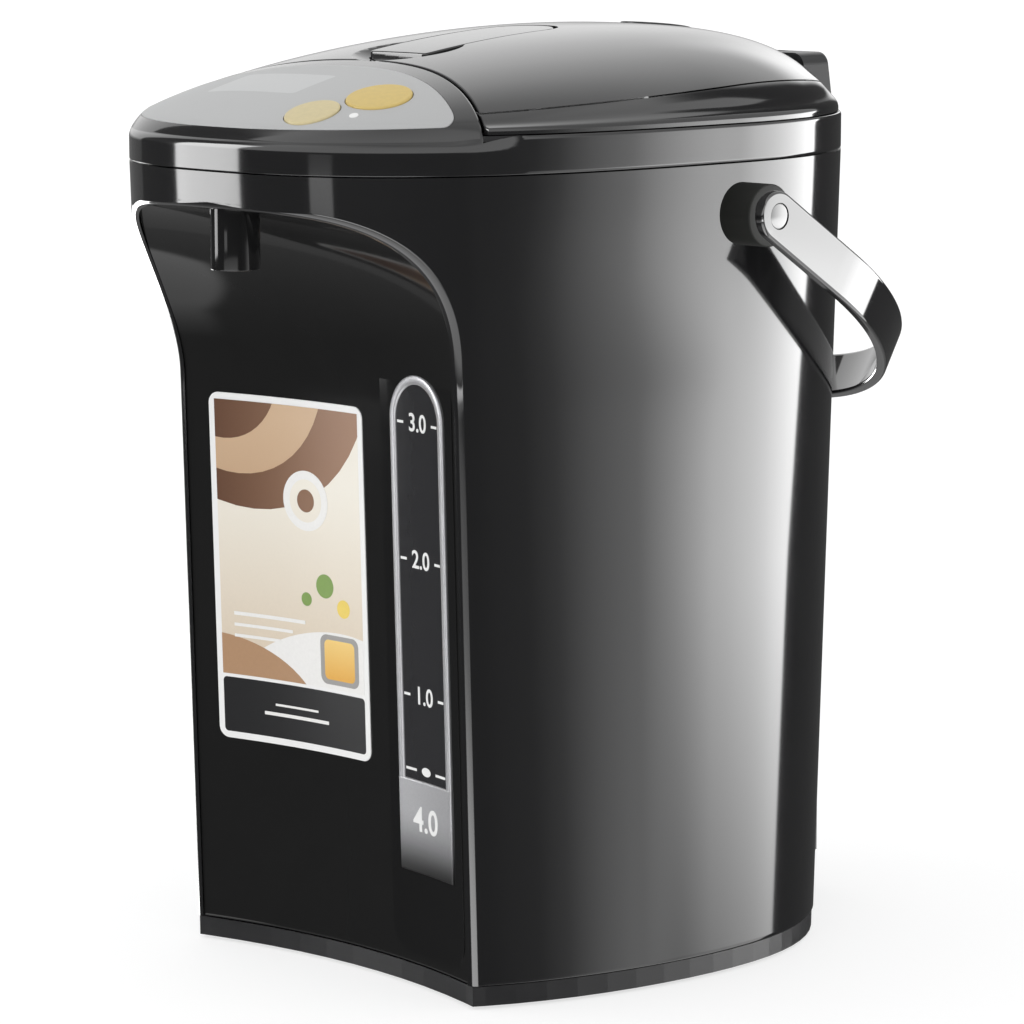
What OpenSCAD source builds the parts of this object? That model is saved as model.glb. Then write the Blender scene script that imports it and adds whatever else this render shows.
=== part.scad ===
// Electric thermo pot: a hot water dispenser with a hinged lid, a motor pump, a level gauge,
// a swinging carry handle and a turning base.
// Millimetres. X runs across the pot, the front faces -Y, Z is up; the origin lies on the floor
// under the body's axis. The housing is one loft, the beak's sweep one line (front_line) that
// cuts the sleeve and bends the panel, and everything else is placed from those two.

/* [Body] */
// Half width of the body at its widest
half_w = 97; // [95:1:100]
// Reach of the back behind the body's axis, at the shoulder seam
back_reach = 111; // [109:1:116]
// Reach of the beak in front of the body's axis
beak_reach = 153; // [150:1:158]
// Height of the seam between body and shoulder
seam_h = 280; // [278:1:286]
// Height of the shoulder band above the seam
band_h = 13; // [12:1:16]
// Rise of the lid's crown above the shoulder band
crown_h = 30.5; // [28:0.5:33]
// Wall of the outer mouldings
wall = 2.4; // [2:0.1:3]
// How far the back leans in, per millimetre of height
back_lean = 0.054; // [0.045:0.001:0.06]

/* [Front panel] */
// Distance of the front corners from the axis, at the floor
foot_front = 99.8; // [98:0.1:102]
// How far the front leans out, per millimetre of height
front_lean = 0.031; // [0.025:0.001:0.035]
// Half width over which the front panel is bowed in
bow_half = 70; // [66:1:74]
// Depth of the bow at the panel's middle
bow_depth = 10; // [7:0.5:11]
// Height at which the front begins to sweep out under the beak
cove_low = 200; // [194:1:206]
// Depth of the beak's skirt below the seam
skirt_h = 11.7; // [10:0.1:14]
// How far the sweep carries the front forward
cove_reach = 50; // [46:1:54]

/* [Container] */
// Inner radius of the water container
tank_r = 82.5; // [80:0.5:83]
// Wall of the container
tank_t = 0.8; // [0.6:0.1:1.2]
// Height of the container's inner floor
tank_floor = 52; // [50:1:56]
// Radius of the container's mouth
mouth_r = 66; // [62:1:67]
// Distance of the container's axis behind the body's axis
tank_back = 6; // [5:0.5:7]

/* [Gauge] */
// Distance of the gauge's centre line from the middle
gauge_x = 44; // [42:1:45]
// Width of the gauge's frame
gauge_w = 31; // [28:1:32]
// Height of the frame's lower end
gauge_low = 41; // [38:1:46]
// Height of the frame's arched top
gauge_top = 212; // [208:1:216]
// Radius of the level tube
tube_r = 4; // [3.5:0.1:4.5]

/* [Label] */
// Width of the label plate
label_w = 71; // [64:1:74]
// Height of the label plate
label_h = 122; // [110:1:126]
// Distance of the label's centre to the left of the middle
label_off = 22.5; // [21:0.5:26]
// Height of the label's lower edge
label_low = 76; // [72:1:82]

/* [Buttons] */
// Radius of the dispense button
dispense_r = 11; // [9.5:0.5:11]
// Radius of the unlock button
unlock_r = 9.2; // [8:0.1:9.2]
// Travel of the buttons
button_travel = 1.2; // [0.8:0.1:1.4]

/* [Handle] */
// Height of the handle's pivot
pivot_h = 263; // [260:1:264]
// Width of the handle's strap
strap_w = 17; // [15:0.5:18]
// Thickness of the handle's strap
strap_t = 4; // [3.5:0.1:4.5]
// Length of the handle from its pivot to the grip's outer face
bail_l = 136; // [134:1:142]
// Angle of the resting handle below level
bail_dip = 32; // [30:1:34]
// Radius of the handle's bosses
boss_r = 12.3; // [11:0.1:13]
// Radius of the pivot pins
pin_r = 4.5; // [3.5:0.1:5]

/* [Lid] */
// Width of the lid lever
lever_w = 28; // [24:1:30]
// Length of the lid lever
lever_l = 70; // [66:1:74]
// Thickness of the lid lever
lever_t = 3.5; // [3:0.1:4]
// Radius of the lid's hinge pin
hinge_pin_r = 2; // [1.5:0.1:2.2]
// Width of the hinge block over its cheeks
hinge_w = 68; // [60:1:72]

/* [Base] */
// Radius of the turning base
turn_r = 75; // [68:1:78]
// Height of the rubber feet
foot_h = 2.2; // [1.8:0.1:3]
// Half width of the power inlet's housing
inlet_half = 30; // [26:1:32]

/* [Hidden] */
$fn = 48;

seam_gap = 0.3;     // between mouldings that meet
fit = 0.03;         // radial clearance of pins in bores
far = 400;          // cutting solids reach past everything

rim_h = seam_h + band_h;
skirt_bottom = seam_h - skirt_h;
panel_t = wall;

// Plan exponents of the egg-shaped outline: back, beak above and body below
back_pow = 2.26;
beak_pow = [2.6, 2.84];
body_pow = [2.35, 1.82];
flare_low = 205;
flare_top = 262;
nose_taper = 0.0783;
plan_n = 72;

function smooth(t) = let (c = min(max(t, 0), 1)) c * c * (3 - 2 * c);
function spow(v, e) = sign(v) * pow(abs(v), e);
function back_at(z) = back_reach - back_lean * max(seam_h - z, 0);
function nose_at(z) = beak_reach * (1 - nose_taper * max(seam_h - z, 0) / seam_h);
function plan_pow(z) = body_pow + smooth((z - flare_low) / (flare_top - flare_low)) * (beak_pow - body_pow);

// One point of the plan outline at height z, a wall's thickness further in
function plan_pt(a, z, inset) =
    let (c = cos(a), s = sin(a), w = half_w - inset, p = plan_pow(z))
    s >= 0 ? [w * spow(c, 2 / back_pow), (back_at(z) - inset) * pow(s, 2 / back_pow)]
           : [w * spow(c, 2 / p[0]), -(nose_at(z) - inset) * pow(-s, 2 / p[1])];
function plan_line(z, inset) = [for (i = [0 : plan_n - 1]) plan_pt(360 * i / plan_n, z, inset)];
function plan_ring(z, inset) = [for (q = plan_line(z, inset)) [q[0], q[1], z]];
// Half width of the shoulder's plan at depth y
function plan_x(y, inset) =
    let (reach = (y >= 0 ? back_reach : beak_reach) - inset, r = min(abs(y) / reach, 1))
    (half_w - inset) * (y >= 0 ? pow(1 - pow(r, back_pow), 1 / back_pow)
                               : pow(1 - pow(r, beak_pow[1]), 1 / beak_pow[0]));

// Skin over a stack of rings that turn anticlockwise as seen from the last one
module loft(rings) {
    n = len(rings[0]);
    last = len(rings) - 1;
    sides = [for (j = [0 : last - 1]) for (i = [0 : n - 1])
        let (a = j * n + i, b = j * n + (i + 1) % n) each [[a, a + n, b + n], [a, b + n, b]]];
    polyhedron([for (r = rings) each r],
        concat([[for (i = [0 : n - 1]) i]], sides, [[for (i = [n - 1 : -1 : 0]) last * n + i]]));
}

// The body's solid form between two heights; rings crowd where the beak flares out
flare_steps = 6;
module body_form(low, high, inset) {
    between = [for (k = [0 : flare_steps]) flare_low + (flare_top - flare_low) * k / flare_steps];
    levels = concat([low], [for (z = between) if (z > low + 1 && z < high - 1) z], [high]);
    loft([for (z = levels) plan_ring(z, inset)]);
}
module shoulder_plate(low, high, inset) {
    translate([0, 0, low]) linear_extrude(high - low) polygon(plan_line(seam_h, inset));
}

// Front edge of the sleeve, as (y, z): a leaning line, then a sweep out under the beak
cove_pow = [2, 2.2];
cove_steps = 10;
function front_y(z) = -(foot_front + front_lean * z);
function cove_pt(a) =
    let (z = cove_low + (skirt_bottom - cove_low) * pow(sin(a), 2 / cove_pow[1]))
    [front_y(z) - cove_reach * (1 - pow(cos(a), 2 / cove_pow[0])), z];
function front_line(low) = concat([[front_y(low), low]],
    [for (k = [0 : cove_steps]) cove_pt(90 * k / cove_steps)],
    [[-(beak_reach + 12), skirt_bottom]]);
// The same line moved in by d along its own normal
function inward(line, d) = [for (i = [0 : len(line) - 1])
    let (a = line[max(i - 1, 0)], b = line[min(i + 1, len(line) - 1)], v = (b - a) / norm(b - a))
    line[i] + d * [v[1], -v[0]]];
function bow(x) = bow_depth * (1 - pow(x / bow_half, 2));
function reversed(v) = [for (i = [len(v) - 1 : -1 : 0]) v[i]];

// Bowed slab that follows the front line, from `front` out to `back` in
bow_steps = 12;
bow_edge = bow_half + 8;
module front_slab(low, front, back) {
    line = front_line(low);
    section = concat(reversed(inward(line, front)), inward(line, back));
    loft([for (i = [-bow_steps / 2 : bow_steps / 2])
        let (x = i * bow_edge / (bow_steps / 2)) [for (q = section) [x, q[0] + bow(x), q[1]]]]);
}
// Plan of everything in front of the bowed panel at height z
function bowed_front(z) = concat(
    [for (i = [-bow_steps / 2 : bow_steps / 2]) let (x = i * bow_edge / (bow_steps / 2)) [x, front_y(z) + bow(x)]],
    [[far / 2, -far / 2], [-far / 2, -far / 2]]);
// Everything in front of the sleeve's straight-cut edge
module edge_void(low) {
    rotate([90, 0, 90]) translate([0, 0, -far / 2]) linear_extrude(far)
        polygon(concat([[-far, skirt_bottom]], [[-far, low]], front_line(low)));
}
// Patch of the straight part of the panel's face, between two depths behind the face, with the
// same facets as the panel itself
module face_patch(x0, x1, low, high, front, back) {
    grid = [for (i = [-bow_steps / 2 : bow_steps / 2]) i * bow_edge / (bow_steps / 2)];
    loft([for (x = concat([x0], [for (g = grid) if (g > x0 + 1 && g < x1 - 1) g], [x1]))
        [[x, front_y(high) + bow(x) + front, high], [x, front_y(low) + bow(x) + front, low],
         [x, front_y(low) + bow(x) + back, low], [x, front_y(high) + bow(x) + back, high]]]);
}
module facing(depth = 60) {
    translate([0, -foot_front + depth / 2, 0]) rotate([90, 0, 0]) linear_extrude(depth) children();
}

// Solid crown over the shoulder, as rows across the pot between two depths, with a 1 mm edge under
// it; drop lowers the surface for inner faces
crown_top_y = 22.9;
crown_front_pow = [1.9, 1.2];
crown_back_pow = [2.42, 2.25];
crown_side_pow = [2.7, 1.33];
crown_rows = 20;
crown_cols = 12;
function ridge(y) =
    let (t = y < crown_top_y ? (crown_top_y - y) / (beak_reach + crown_top_y)
                             : (y - crown_top_y) / (back_reach - crown_top_y),
         p = y < crown_top_y ? crown_front_pow : crown_back_pow)
    crown_h * pow(max(1 - pow(min(t, 1), p[0]), 0), 1 / p[1]);
function crown_z(y, s, drop) =
    rim_h - drop + ridge(y) * pow(max(1 - pow(abs(s), crown_side_pow[0]), 0), 1 / crown_side_pow[1]);
module crown(inset, drop, front = -far, back = far) {
    mid_y = (back_reach - beak_reach) / 2;
    half = (back_reach + beak_reach) / 2 - inset;
    all = [for (j = [0 : crown_rows]) mid_y + half * cos(4 + 172 * j / crown_rows)];
    first = min(back, all[0]);
    last = max(front, all[crown_rows]);
    low = rim_h - max(drop, 0) - 1;
    loft([for (y = concat([first], [for (y = all) if (y < first - 1 && y > last + 1) y], [last]))
        let (w = plan_x(y, inset))
        concat([[-w, y, low], [w, y, low]],
            [for (k = [0 : crown_cols]) let (s = cos(180 * k / crown_cols)) [s * w, y, crown_z(y, s, drop)]])]);
}
module crown_shell(inset, outer_drop, inner_drop, inner_inset, front = -far, back = far) {
    difference() {
        crown(inset, outer_drop, front, back);
        crown(inner_inset, inner_drop, front - 2, back + 2);
    }
}
deck_end = -75;     // the deck's pieces lie in front of this depth
lid_end = -112;     // and the lid's behind this one

// The seam between deck and lid is an arc that bulges into the lid
seam_r = 145;
seam_front = 81;
seam_cy = -seam_front - seam_r;
lid_gap = 0.8;
lid_inset = 1;
deck_back = seam_cy + seam_r;
module seam_disc(r, low, high) translate([0, seam_cy, low]) cylinder(r = r, h = high - low, $fn = 160);

module tank_place() translate([0, tank_back, 0]) children();
module ring_body(r_in, r_out, low, high) {
    translate([0, 0, low]) difference() {
        cylinder(r = r_out, h = high - low, $fn = 96);
        translate([0, 0, -1]) cylinder(r = r_in, h = high - low + 2, $fn = 96);
    }
}
module along_x(x0, x1, y, z, r) {
    translate([x0, y, z]) rotate([0, 90, 0]) cylinder(r = r, h = x1 - x0);
}

// Heights inside
rim_base = foot_h - 1;          // underside of the base's rim
sleeve_low = rim_base + 7;
neck_h = seam_h - 12;           // flange of the container
well_r = mouth_r + 14;
lip_t = 1.5;
flange_r = well_r - 2;
shoulder_low = neck_h - 22;
jacket_r = tank_r + tank_t + 2.2;
jacket_t = 2;

/* ---- Housing ---- */

module outer_sleeve() color([0.09, 0.09, 0.1]) {
    difference() {
        body_form(sleeve_low, seam_h, 0);
        body_form(sleeve_low - 1, seam_h + 1, wall);
        edge_void(-10);
        for (side = [0, 1]) mirror([side, 0, 0]) along_x(half_w - 20, half_w + 20, 0, pivot_h, spigot_r + seam_gap);
        inlet_opening(seam_gap);
    }
}

// Everything of the front mouldings: the bowed slab trimmed to the inside of the sleeve
module front_moulding() {
    intersection() {
        front_slab(sleeve_low, 0, panel_t);
        body_form(sleeve_low, seam_h - 2, wall + seam_gap);
    }
}
strip_left = gauge_x - gauge_w / 2 - 5.5;
strip_low = sleeve_low + 4;
strip_top = gauge_top + 6;
strip_w = 2 * (gauge_x - strip_left);
strip_round = 9;
module rounded(w, h, r) {
    hull() for (x = [-1, 1], y = [-1, 1]) translate([x * (w / 2 - r), y * (h / 2 - r)]) circle(r = r, $fn = 32);
}
module strip_outline(grow) {
    translate([gauge_x, (strip_top + strip_low) / 2])
        rounded(strip_w + 2 * grow, strip_top - strip_low + 2 * grow, strip_round + grow);
}
module arch_outline(grow, low) {
    r = gauge_w / 2 + grow;
    translate([gauge_x, gauge_top - gauge_w / 2]) circle(r = r, $fn = 64);
    translate([gauge_x - r, low - grow]) square([2 * r, gauge_top - gauge_w / 2 - low + grow]);
}
frame_edge = 3.2;
window_low = gauge_low + 29;

module front_panel() color([0.1, 0.1, 0.105]) {
    difference() {
        front_moulding();
        facing() strip_outline(seam_gap / 2);
        translate([0, spout_y, skirt_bottom - 20]) cylinder(r = spout_r + seam_gap, h = 40);
    }
}

module gauge_strip() color([0.1, 0.1, 0.105]) {
    difference() {
        intersection() {
            face_patch(strip_left - 2, strip_left + strip_w + 2, strip_low - 2, strip_top + 2, 0, panel_t);
            facing() strip_outline(-seam_gap / 2);
        }
        facing() arch_outline(seam_gap / 2, gauge_low);
    }
}

label_t = 0.5;
module label_plate() color([0.72, 0.6, 0.48]) {
    intersection() {
        face_patch(-label_off - label_w / 2 - 2, -label_off + label_w / 2 + 2, label_low - 2,
            label_low + label_h + 2, -label_t - 0.05, -0.05);
        facing() translate([-label_off, label_low + label_h / 2]) rounded(label_w, label_h, 4);
    }
}

module gauge_frame() color([0.75, 0.75, 0.76]) {
    difference() {
        intersection() {
            face_patch(gauge_x - gauge_w / 2 - 2, gauge_x + gauge_w / 2 + 2, gauge_low - 3, gauge_top + 3, -1, panel_t);
            facing() arch_outline(0, gauge_low);
        }
        facing() arch_outline(-frame_edge, window_low + frame_edge);
    }
}

module gauge_window() color([0.2, 0.2, 0.22, 0.6]) {
    intersection() {
        face_patch(gauge_x - gauge_w / 2, gauge_x + gauge_w / 2, window_low - 3, gauge_top, -0.4, 1.2);
        facing() arch_outline(-frame_edge - seam_gap / 2, window_low + frame_edge);
    }
}

/* ---- Level tube, pump and pipes ---- */

tube_y = front_y(gauge_low) + bow(gauge_x) + panel_t + tube_r + 1.5;
tube_low = tank_floor + 2;
tube_top = seam_h - 36;
tube_wall = 0.8;
module gauge_tube() color([0.8, 0.85, 0.88, 0.5]) {
    translate([gauge_x, tube_y, 0]) ring_body(tube_r - tube_wall, tube_r, tube_low, tube_top);
}

// Shoulder and deck
module top_frame() color([0.1, 0.1, 0.11]) {
    difference() {
        union() {
            difference() {
                shoulder_plate(seam_h + seam_gap, rim_h, 0);
                shoulder_plate(seam_h - 1, rim_h - wall, wall);
                tank_place() translate([0, 0, seam_h - 5]) cylinder(r = well_r, h = 40, $fn = 96);
                deck_room(seam_h - 1, rim_h + 1);
            }
            // the deck's crowned skin and its wall along the lid
            intersection() {
                crown_shell(0, 0, wall, wall, -far, deck_end);
                seam_disc(seam_r, rim_h - 5, far);
            }
            intersection() {
                crown(0, 0, -far, deck_end);
                difference() {
                    seam_disc(seam_r, rim_h - wall, far);
                    seam_disc(seam_r - wall, rim_h - wall - 1, far);
                }
            }
            // well that carries the container by its flange
            tank_place() ring_body(well_r, well_r + wall, neck_h - lip_t, rim_h - wall);
            tank_place() ring_body(mouth_r + 2, well_r + wall, neck_h - lip_t, neck_h);
        }
        intersection() {
            crown_shell(0, -5, panel_inlay + 0.05, 0.5, -far, deck_end);
            panel_cut(seam_gap / 2);
        }
        button_hole(dispense_at, dispense_r);
        button_hole(unlock_at, unlock_r);
        translate([lamp_at[0], lamp_at[1], rim_h - 5]) cylinder(r = lamp_r + 0.15, h = 40);
        facing_window(0.15);
        spigot_room();
    }
    // posts that hold the control board up to the deck
    intersection() {
        crown(0, wall - 0.5, -far, deck_end);
        for (at = board_posts) translate([at[0], at[1], board_h + board_t]) cylinder(r = 3, h = 60);
    }
}
// Open space under the deck
module deck_room(low, high) {
    intersection() {
        shoulder_plate(low, high, wall);
        seam_disc(seam_r - wall, low - 1, high + 1);
        translate([-far / 2, -far, low - 1]) cube([far, far + tank_back - well_r - wall + 4, high - low + 2]);
    }
}

panel_inlay = 1.4;
panel_inset = 4;
panel_r = seam_r - 8;
panel_round = 7;
module panel_outline(grow) {
    offset(r = panel_round + grow) offset(delta = -panel_round) intersection() {
        polygon(plan_line(seam_h, panel_inset));
        translate([0, seam_cy]) circle(r = panel_r, $fn = 160);
    }
}
module panel_cut(grow) translate([0, 0, rim_h - 6]) linear_extrude(60) panel_outline(grow);

dispense_at = [42, -115];
unlock_at = [31, -134.5];
lamp_at = [46.5, -130.5];
lamp_r = 1.6;
window_at = [-14, -112];
window_size = [44, 20];
cap_rise = 0.7;
cap_t = 3;
stem_r = 4;
board_posts = [[-42, -126], [-46, -101], [16, -100], [9, -129]];
board_h = rim_h - 4;
board_t = 1.6;
switch_h = 3.2;
module button_hole(at, r) translate([at[0], at[1], rim_h - 8]) cylinder(r = r + seam_gap, h = 60);
module window_outline(grow) {
    translate(window_at) rounded(window_size[0] + 2 * grow, window_size[1] + 2 * grow, 4);
}
module facing_window(grow) translate([0, 0, rim_h - 6]) linear_extrude(60) window_outline(grow);

module control_panel() color([0.66, 0.68, 0.66]) {
    difference() {
        intersection() {
            crown_shell(0, 0, panel_inlay, 0.5, -far, deck_end);
            panel_cut(0);
        }
        button_hole(dispense_at, dispense_r);
        button_hole(unlock_at, unlock_r);
        translate([lamp_at[0], lamp_at[1], rim_h - 5]) cylinder(r = lamp_r + 0.15, h = 60);
        facing_window(0.15);
    }
}

module display_window() color([0.5, 0.55, 0.52, 0.8]) {
    intersection() {
        crown_shell(0, 0, wall + 0.6, 0.5, window_at[1] - window_size[1], window_at[1] + window_size[1]);
        facing_window(0);
    }
}

module lock_lamp() color([0.95, 0.95, 0.93]) {
    intersection() {
        crown(0, -0.3, lamp_at[1] - 5, lamp_at[1] + 5);
        translate([lamp_at[0], lamp_at[1], board_h + board_t]) cylinder(r = lamp_r, h = 60);
    }
    translate([lamp_at[0], lamp_at[1], board_h + board_t]) cylinder(r = lamp_r, h = 6);
}

stem_low = board_h + board_t + switch_h + button_travel + seam_gap;
module button(at, r) {
    intersection() {
        crown_shell(0, -cap_rise, cap_t, 0.5, at[1] - r - 2, at[1] + r + 2);
        translate([at[0], at[1], rim_h - 8]) cylinder(r = r, h = 60, $fn = 64);
    }
    intersection() {
        crown(0, cap_t - 0.5, at[1] - r, at[1] + r);
        translate([at[0], at[1], stem_low]) cylinder(r = stem_r, h = 60);
    }
}
module dispense_button() color([0.86, 0.72, 0.45]) button(dispense_at, dispense_r);
module unlock_button() color([0.84, 0.74, 0.52]) button(unlock_at, unlock_r);

// Circuit board on posts under the deck, with one tact switch under each button
board_half = 60;
board_ahead = 12;   // from the nose to the board's front edge
board_deep = 45;
module control_board() color([0.12, 0.35, 0.2]) {
    translate([0, 0, board_h]) linear_extrude(board_t) intersection() {
        polygon(plan_line(seam_h, wall + 4));
        translate([-board_half, board_ahead - beak_reach]) square([2 * board_half, board_deep]);
    }
    for (at = [dispense_at, unlock_at]) translate([at[0] - 3, at[1] - 3, board_h + board_t]) cube([6, 6, switch_h]);
}

/* ---- Base ---- */

floor_h = sleeve_low - seam_gap;
turn_t = 3;
turn_top = foot_h + turn_t;
hub_r = 12;
jacket_low = floor_h + 36;
post_angles = [14, 166, 205, 335];
screw_at = [[62, 62], [-62, 62], [60, -70], [-60, -70]];

module base_cover() color([0.09, 0.09, 0.1]) {
    difference() {
        union() {
            body_form(rim_base, floor_h, 0.5);
            // wall that locates the sleeve
            difference() {
                body_form(floor_h - 1, floor_h + 6, wall + seam_gap);
                body_form(floor_h - 2, floor_h + 7, wall + seam_gap + 1.8);
                translate([-far / 2, -far - 80, 0]) cube([far, far, 40]);
                inlet_opening(1);
            }
            for (p = screw_at) translate([p[0], p[1], floor_h - 1]) cylinder(r = 4.5, h = 10);
        }
        translate([0, 0, -1]) linear_extrude(40) polygon(bowed_front(rim_base));
        translate([0, 0, -1]) cylinder(r = turn_r + 1.5, h = turn_top + 1.4, $fn = 96);
        translate([0, 0, -1]) cylinder(r = hub_r + 0.05, h = 40, $fn = 64);
        for (p = screw_at) translate([p[0], p[1], 0]) {
            cylinder(r = 4, h = 4.2);
            cylinder(r = 1.53, h = 16);
        }
        // cooling slots beside the turning base
        for (side = [-1, 1], k = [-2 : 2]) translate([side * 86 - 5, 8 * k - 1.5, -1]) cube([10, 3, 30]);
    }
    // posts that carry the insulation jacket
    tank_place() for (a = post_angles) rotate([0, 0, a]) translate([jacket_r + jacket_t / 2, 0, floor_h - 0.5])
        cylinder(r = 3, h = jacket_low - floor_h + 0.5);
}

module base_screws() color([0.7, 0.7, 0.7]) for (p = screw_at) translate([p[0], p[1], 0]) difference() {
    union() {
        translate([0, 0, 2.2]) cylinder(r = 3.4, h = 2);
        translate([0, 0, 3]) cylinder(r = 1.5, h = 12);
    }
    translate([-0.5, -2.5, 2]) cube([1, 5, 1.2]);
    translate([-2.5, -0.5, 2]) cube([5, 1, 1.2]);
}

module turntable() color([0.12, 0.12, 0.13]) {
    difference() {
        union() {
            translate([0, 0, foot_h]) cylinder(r = turn_r, h = turn_t, $fn = 96);
            cylinder_at(hub_r, foot_h, floor_h + 2.5);
        }
        cylinder_at(hub_r - 3, 0, floor_h + 0.5);
        ring_body(24, 50, foot_h - 1, foot_h + 1.2);
    }
}
module cylinder_at(r, low, high) translate([0, 0, low]) cylinder(r = r, h = high - low, $fn = 64);
module turntable_clip() color([0.75, 0.75, 0.76])
    ring_body(hub_r + fit, hub_r + 5, floor_h + seam_gap, floor_h + seam_gap + 1.2);
module rubber_feet() color([0.2, 0.2, 0.2])
    for (k = [0 : 5]) rotate([0, 0, 60 * k + 30]) translate([turn_r - 12, 0, 0]) cylinder(r = 6, h = foot_h);

/* ---- Container ---- */

neck_low = neck_h - 6;
flange_t = 1.2;
bottom_round = 6;
function tank_profile(grow, top) = concat(
    [[0, tank_floor - grow]],
    [for (k = [0 : 4]) let (a = 90 * k / 4)
        [tank_r - bottom_round + (bottom_round + grow) * sin(a), tank_floor + bottom_round - (bottom_round + grow) * cos(a)]],
    [for (k = [0 : 6]) let (a = 90 * k / 6)
        [mouth_r + grow + (tank_r - mouth_r) * cos(a), shoulder_low + (neck_low - shoulder_low) * sin(a)]],
    [[mouth_r + grow, top], [0, top]]);
module tank() color([0.7, 0.71, 0.72]) tank_place() difference() {
    union() {
        rotate_extrude($fn = 96) polygon(tank_profile(tank_t, neck_h + flange_t));
        translate([0, 0, neck_h]) cylinder(r = flange_r, h = flange_t, $fn = 96);
    }
    rotate_extrude($fn = 96) polygon(tank_profile(0, neck_h + flange_t + 1));
    translate([pump_at[0], pump_at[1] - tank_back, tank_floor - 4]) cylinder(r = 4, h = 8);
}

module insulation_jacket() color([0.62, 0.6, 0.55]) tank_place()
    ring_body(jacket_r, jacket_r + jacket_t, jacket_low, shoulder_low + 10);

heater_r = 52;
heater_t = 4;
module heater_plate() color([0.6, 0.61, 0.63]) tank_place() {
    translate([0, 0, tank_floor - tank_t - heater_t]) cylinder(r = heater_r, h = heater_t, $fn = 96);
    ring_body(38, 44, tank_floor - tank_t - heater_t - 3, tank_floor - tank_t - heater_t + 1);
}
module thermostat() color([0.85, 0.85, 0.82]) tank_place() {
    translate([0, 20, tank_floor - tank_t - heater_t - 6]) cylinder(r = 8, h = 6);
    translate([-3, 18, tank_floor - tank_t - heater_t - 9]) cube([6, 1, 4]);
}

/* ---- Pump under the container's front ---- */

spout_y = -141;
spout_r = 8.3;
pump_at = [-30, -54];
pump_r = 17.5;
chamber_r = 15;
pump_top = 43;
chamber_low = 31.8;
axle_r = 1.5;
outlet_h = 36;
nipple_r = 4;
module pump_place() translate([pump_at[0], pump_at[1], 0]) children();
module pump_housing() color([0.85, 0.85, 0.83]) pump_place() {
    difference() {
        union() {
            translate([0, 0, floor_h]) cylinder(r = pump_r, h = pump_top - floor_h, $fn = 64);
            along_x(0, pump_r + 12, -chamber_r + nipple_r + 0.5, outlet_h, nipple_r);
            translate([0, 0, pump_top - 1]) cylinder(r = 6, h = 4.5);
        }
        translate([0, 0, chamber_low]) cylinder(r = chamber_r, h = pump_top - 2 - chamber_low, $fn = 64);
        translate([0, 0, floor_h - 1]) cylinder(r = chamber_r, h = chamber_low - 1.6 - floor_h + 1, $fn = 64);
        translate([0, 0, pump_top - 3]) cylinder(r = 4, h = 10);
        along_x(chamber_r - 6, pump_r + 13, -chamber_r + nipple_r + 0.5, outlet_h, nipple_r - 1.2);
    }
    translate([0, 0, chamber_low - 0.5]) cylinder(r = axle_r, h = 7);
}
module pump_impeller() color([0.9, 0.9, 0.88]) pump_place() difference() {
    union() {
        translate([0, 0, chamber_low + 0.4]) cylinder(r = 12, h = 1.6, $fn = 64);
        translate([0, 0, chamber_low + 0.4]) cylinder(r = 3.2, h = 6.4);
        for (k = [0 : 5]) rotate([0, 0, 60 * k]) translate([2, -0.6, chamber_low + 1]) cube([9.5, 1.2, 5]);
    }
    cylinder(r = axle_r + 0.05, h = 60);
}
module pump_motor() color([0.65, 0.66, 0.68]) pump_place() {
    translate([0, 0, floor_h]) cylinder(r = 13, h = 17, $fn = 64);
    translate([0, 0, floor_h + 16]) cylinder(r = 4, h = 1.6);
    translate([0, 0, floor_h + 17]) cylinder(r = axle_r, h = 3.4);
}
module drive_magnet() color([0.35, 0.35, 0.37]) pump_place()
    ring_body(axle_r + 0.05, 10, floor_h + 18, floor_h + 21);
module suction_pipe() color([0.75, 0.75, 0.72]) pump_place()
    ring_body(6 + fit, 8.5, pump_top + 0.3, tank_floor - tank_t);

// Hose swept along a path; side is a direction that the path never follows
hose_n = 16;
hose_r = 5.4;
hose_bore = 2.6;
function bend(a, b, c, d) = [for (k = [0 : 6]) let (t = k / 6, u = 1 - t)
    u * u * u * a + 3 * u * u * t * b + 3 * u * t * t * c + t * t * t * d];
function hose_ring(p, v, side, r) =
    let (t = v / norm(v), e = side - (side * t) * t, e1 = e / norm(e), e2 = cross(t, e1))
    [for (k = [0 : hose_n - 1]) p + r * (cos(360 * k / hose_n) * e1 + sin(360 * k / hose_n) * e2)];
module hose(path, side, r) {
    last = len(path) - 1;
    loft([for (i = [0 : last]) hose_ring(path[i], path[min(i + 1, last)] - path[max(i - 1, 0)], side, r)]);
}
module pierced_hose(path, side) {
    last = len(path) - 1;
    difference() {
        hose(path, side, hose_r);
        hose(concat([2 * path[0] - path[1]], path, [2 * path[last] - path[last - 1]]), side, hose_bore);
    }
}
nipple_y = pump_at[1] - chamber_r + nipple_r + 0.5;
nipple_end = pump_at[0] + pump_r + 12;
riser_end = [gauge_x, tube_y, tube_low + 8];
module riser_pipe() color([0.75, 0.75, 0.72]) difference() {
    pierced_hose(concat([[nipple_end - 8, nipple_y, outlet_h]],
        bend([nipple_end + 1, nipple_y, outlet_h], [gauge_x - 18, nipple_y, outlet_h],
             [gauge_x, tube_y, outlet_h - 10], riser_end - [0, 0, 9]), [riser_end]), [0, 1, 0]);
    along_x(nipple_end - 9, nipple_end + seam_gap, nipple_y, outlet_h, nipple_r + fit);
    translate([gauge_x, tube_y, tube_low]) cylinder(r = tube_r + fit, h = 20);
}
outlet_top = skirt_bottom + 11.2;
tube_at = [gauge_x, tube_y, 0];
spout_at = [0, spout_y, 0];
function toward_spout(d, z) = tube_at + (spout_at - tube_at) * d / norm(spout_at - tube_at) + [0, 0, z];
outlet_run = norm(spout_at - tube_at);
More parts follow.
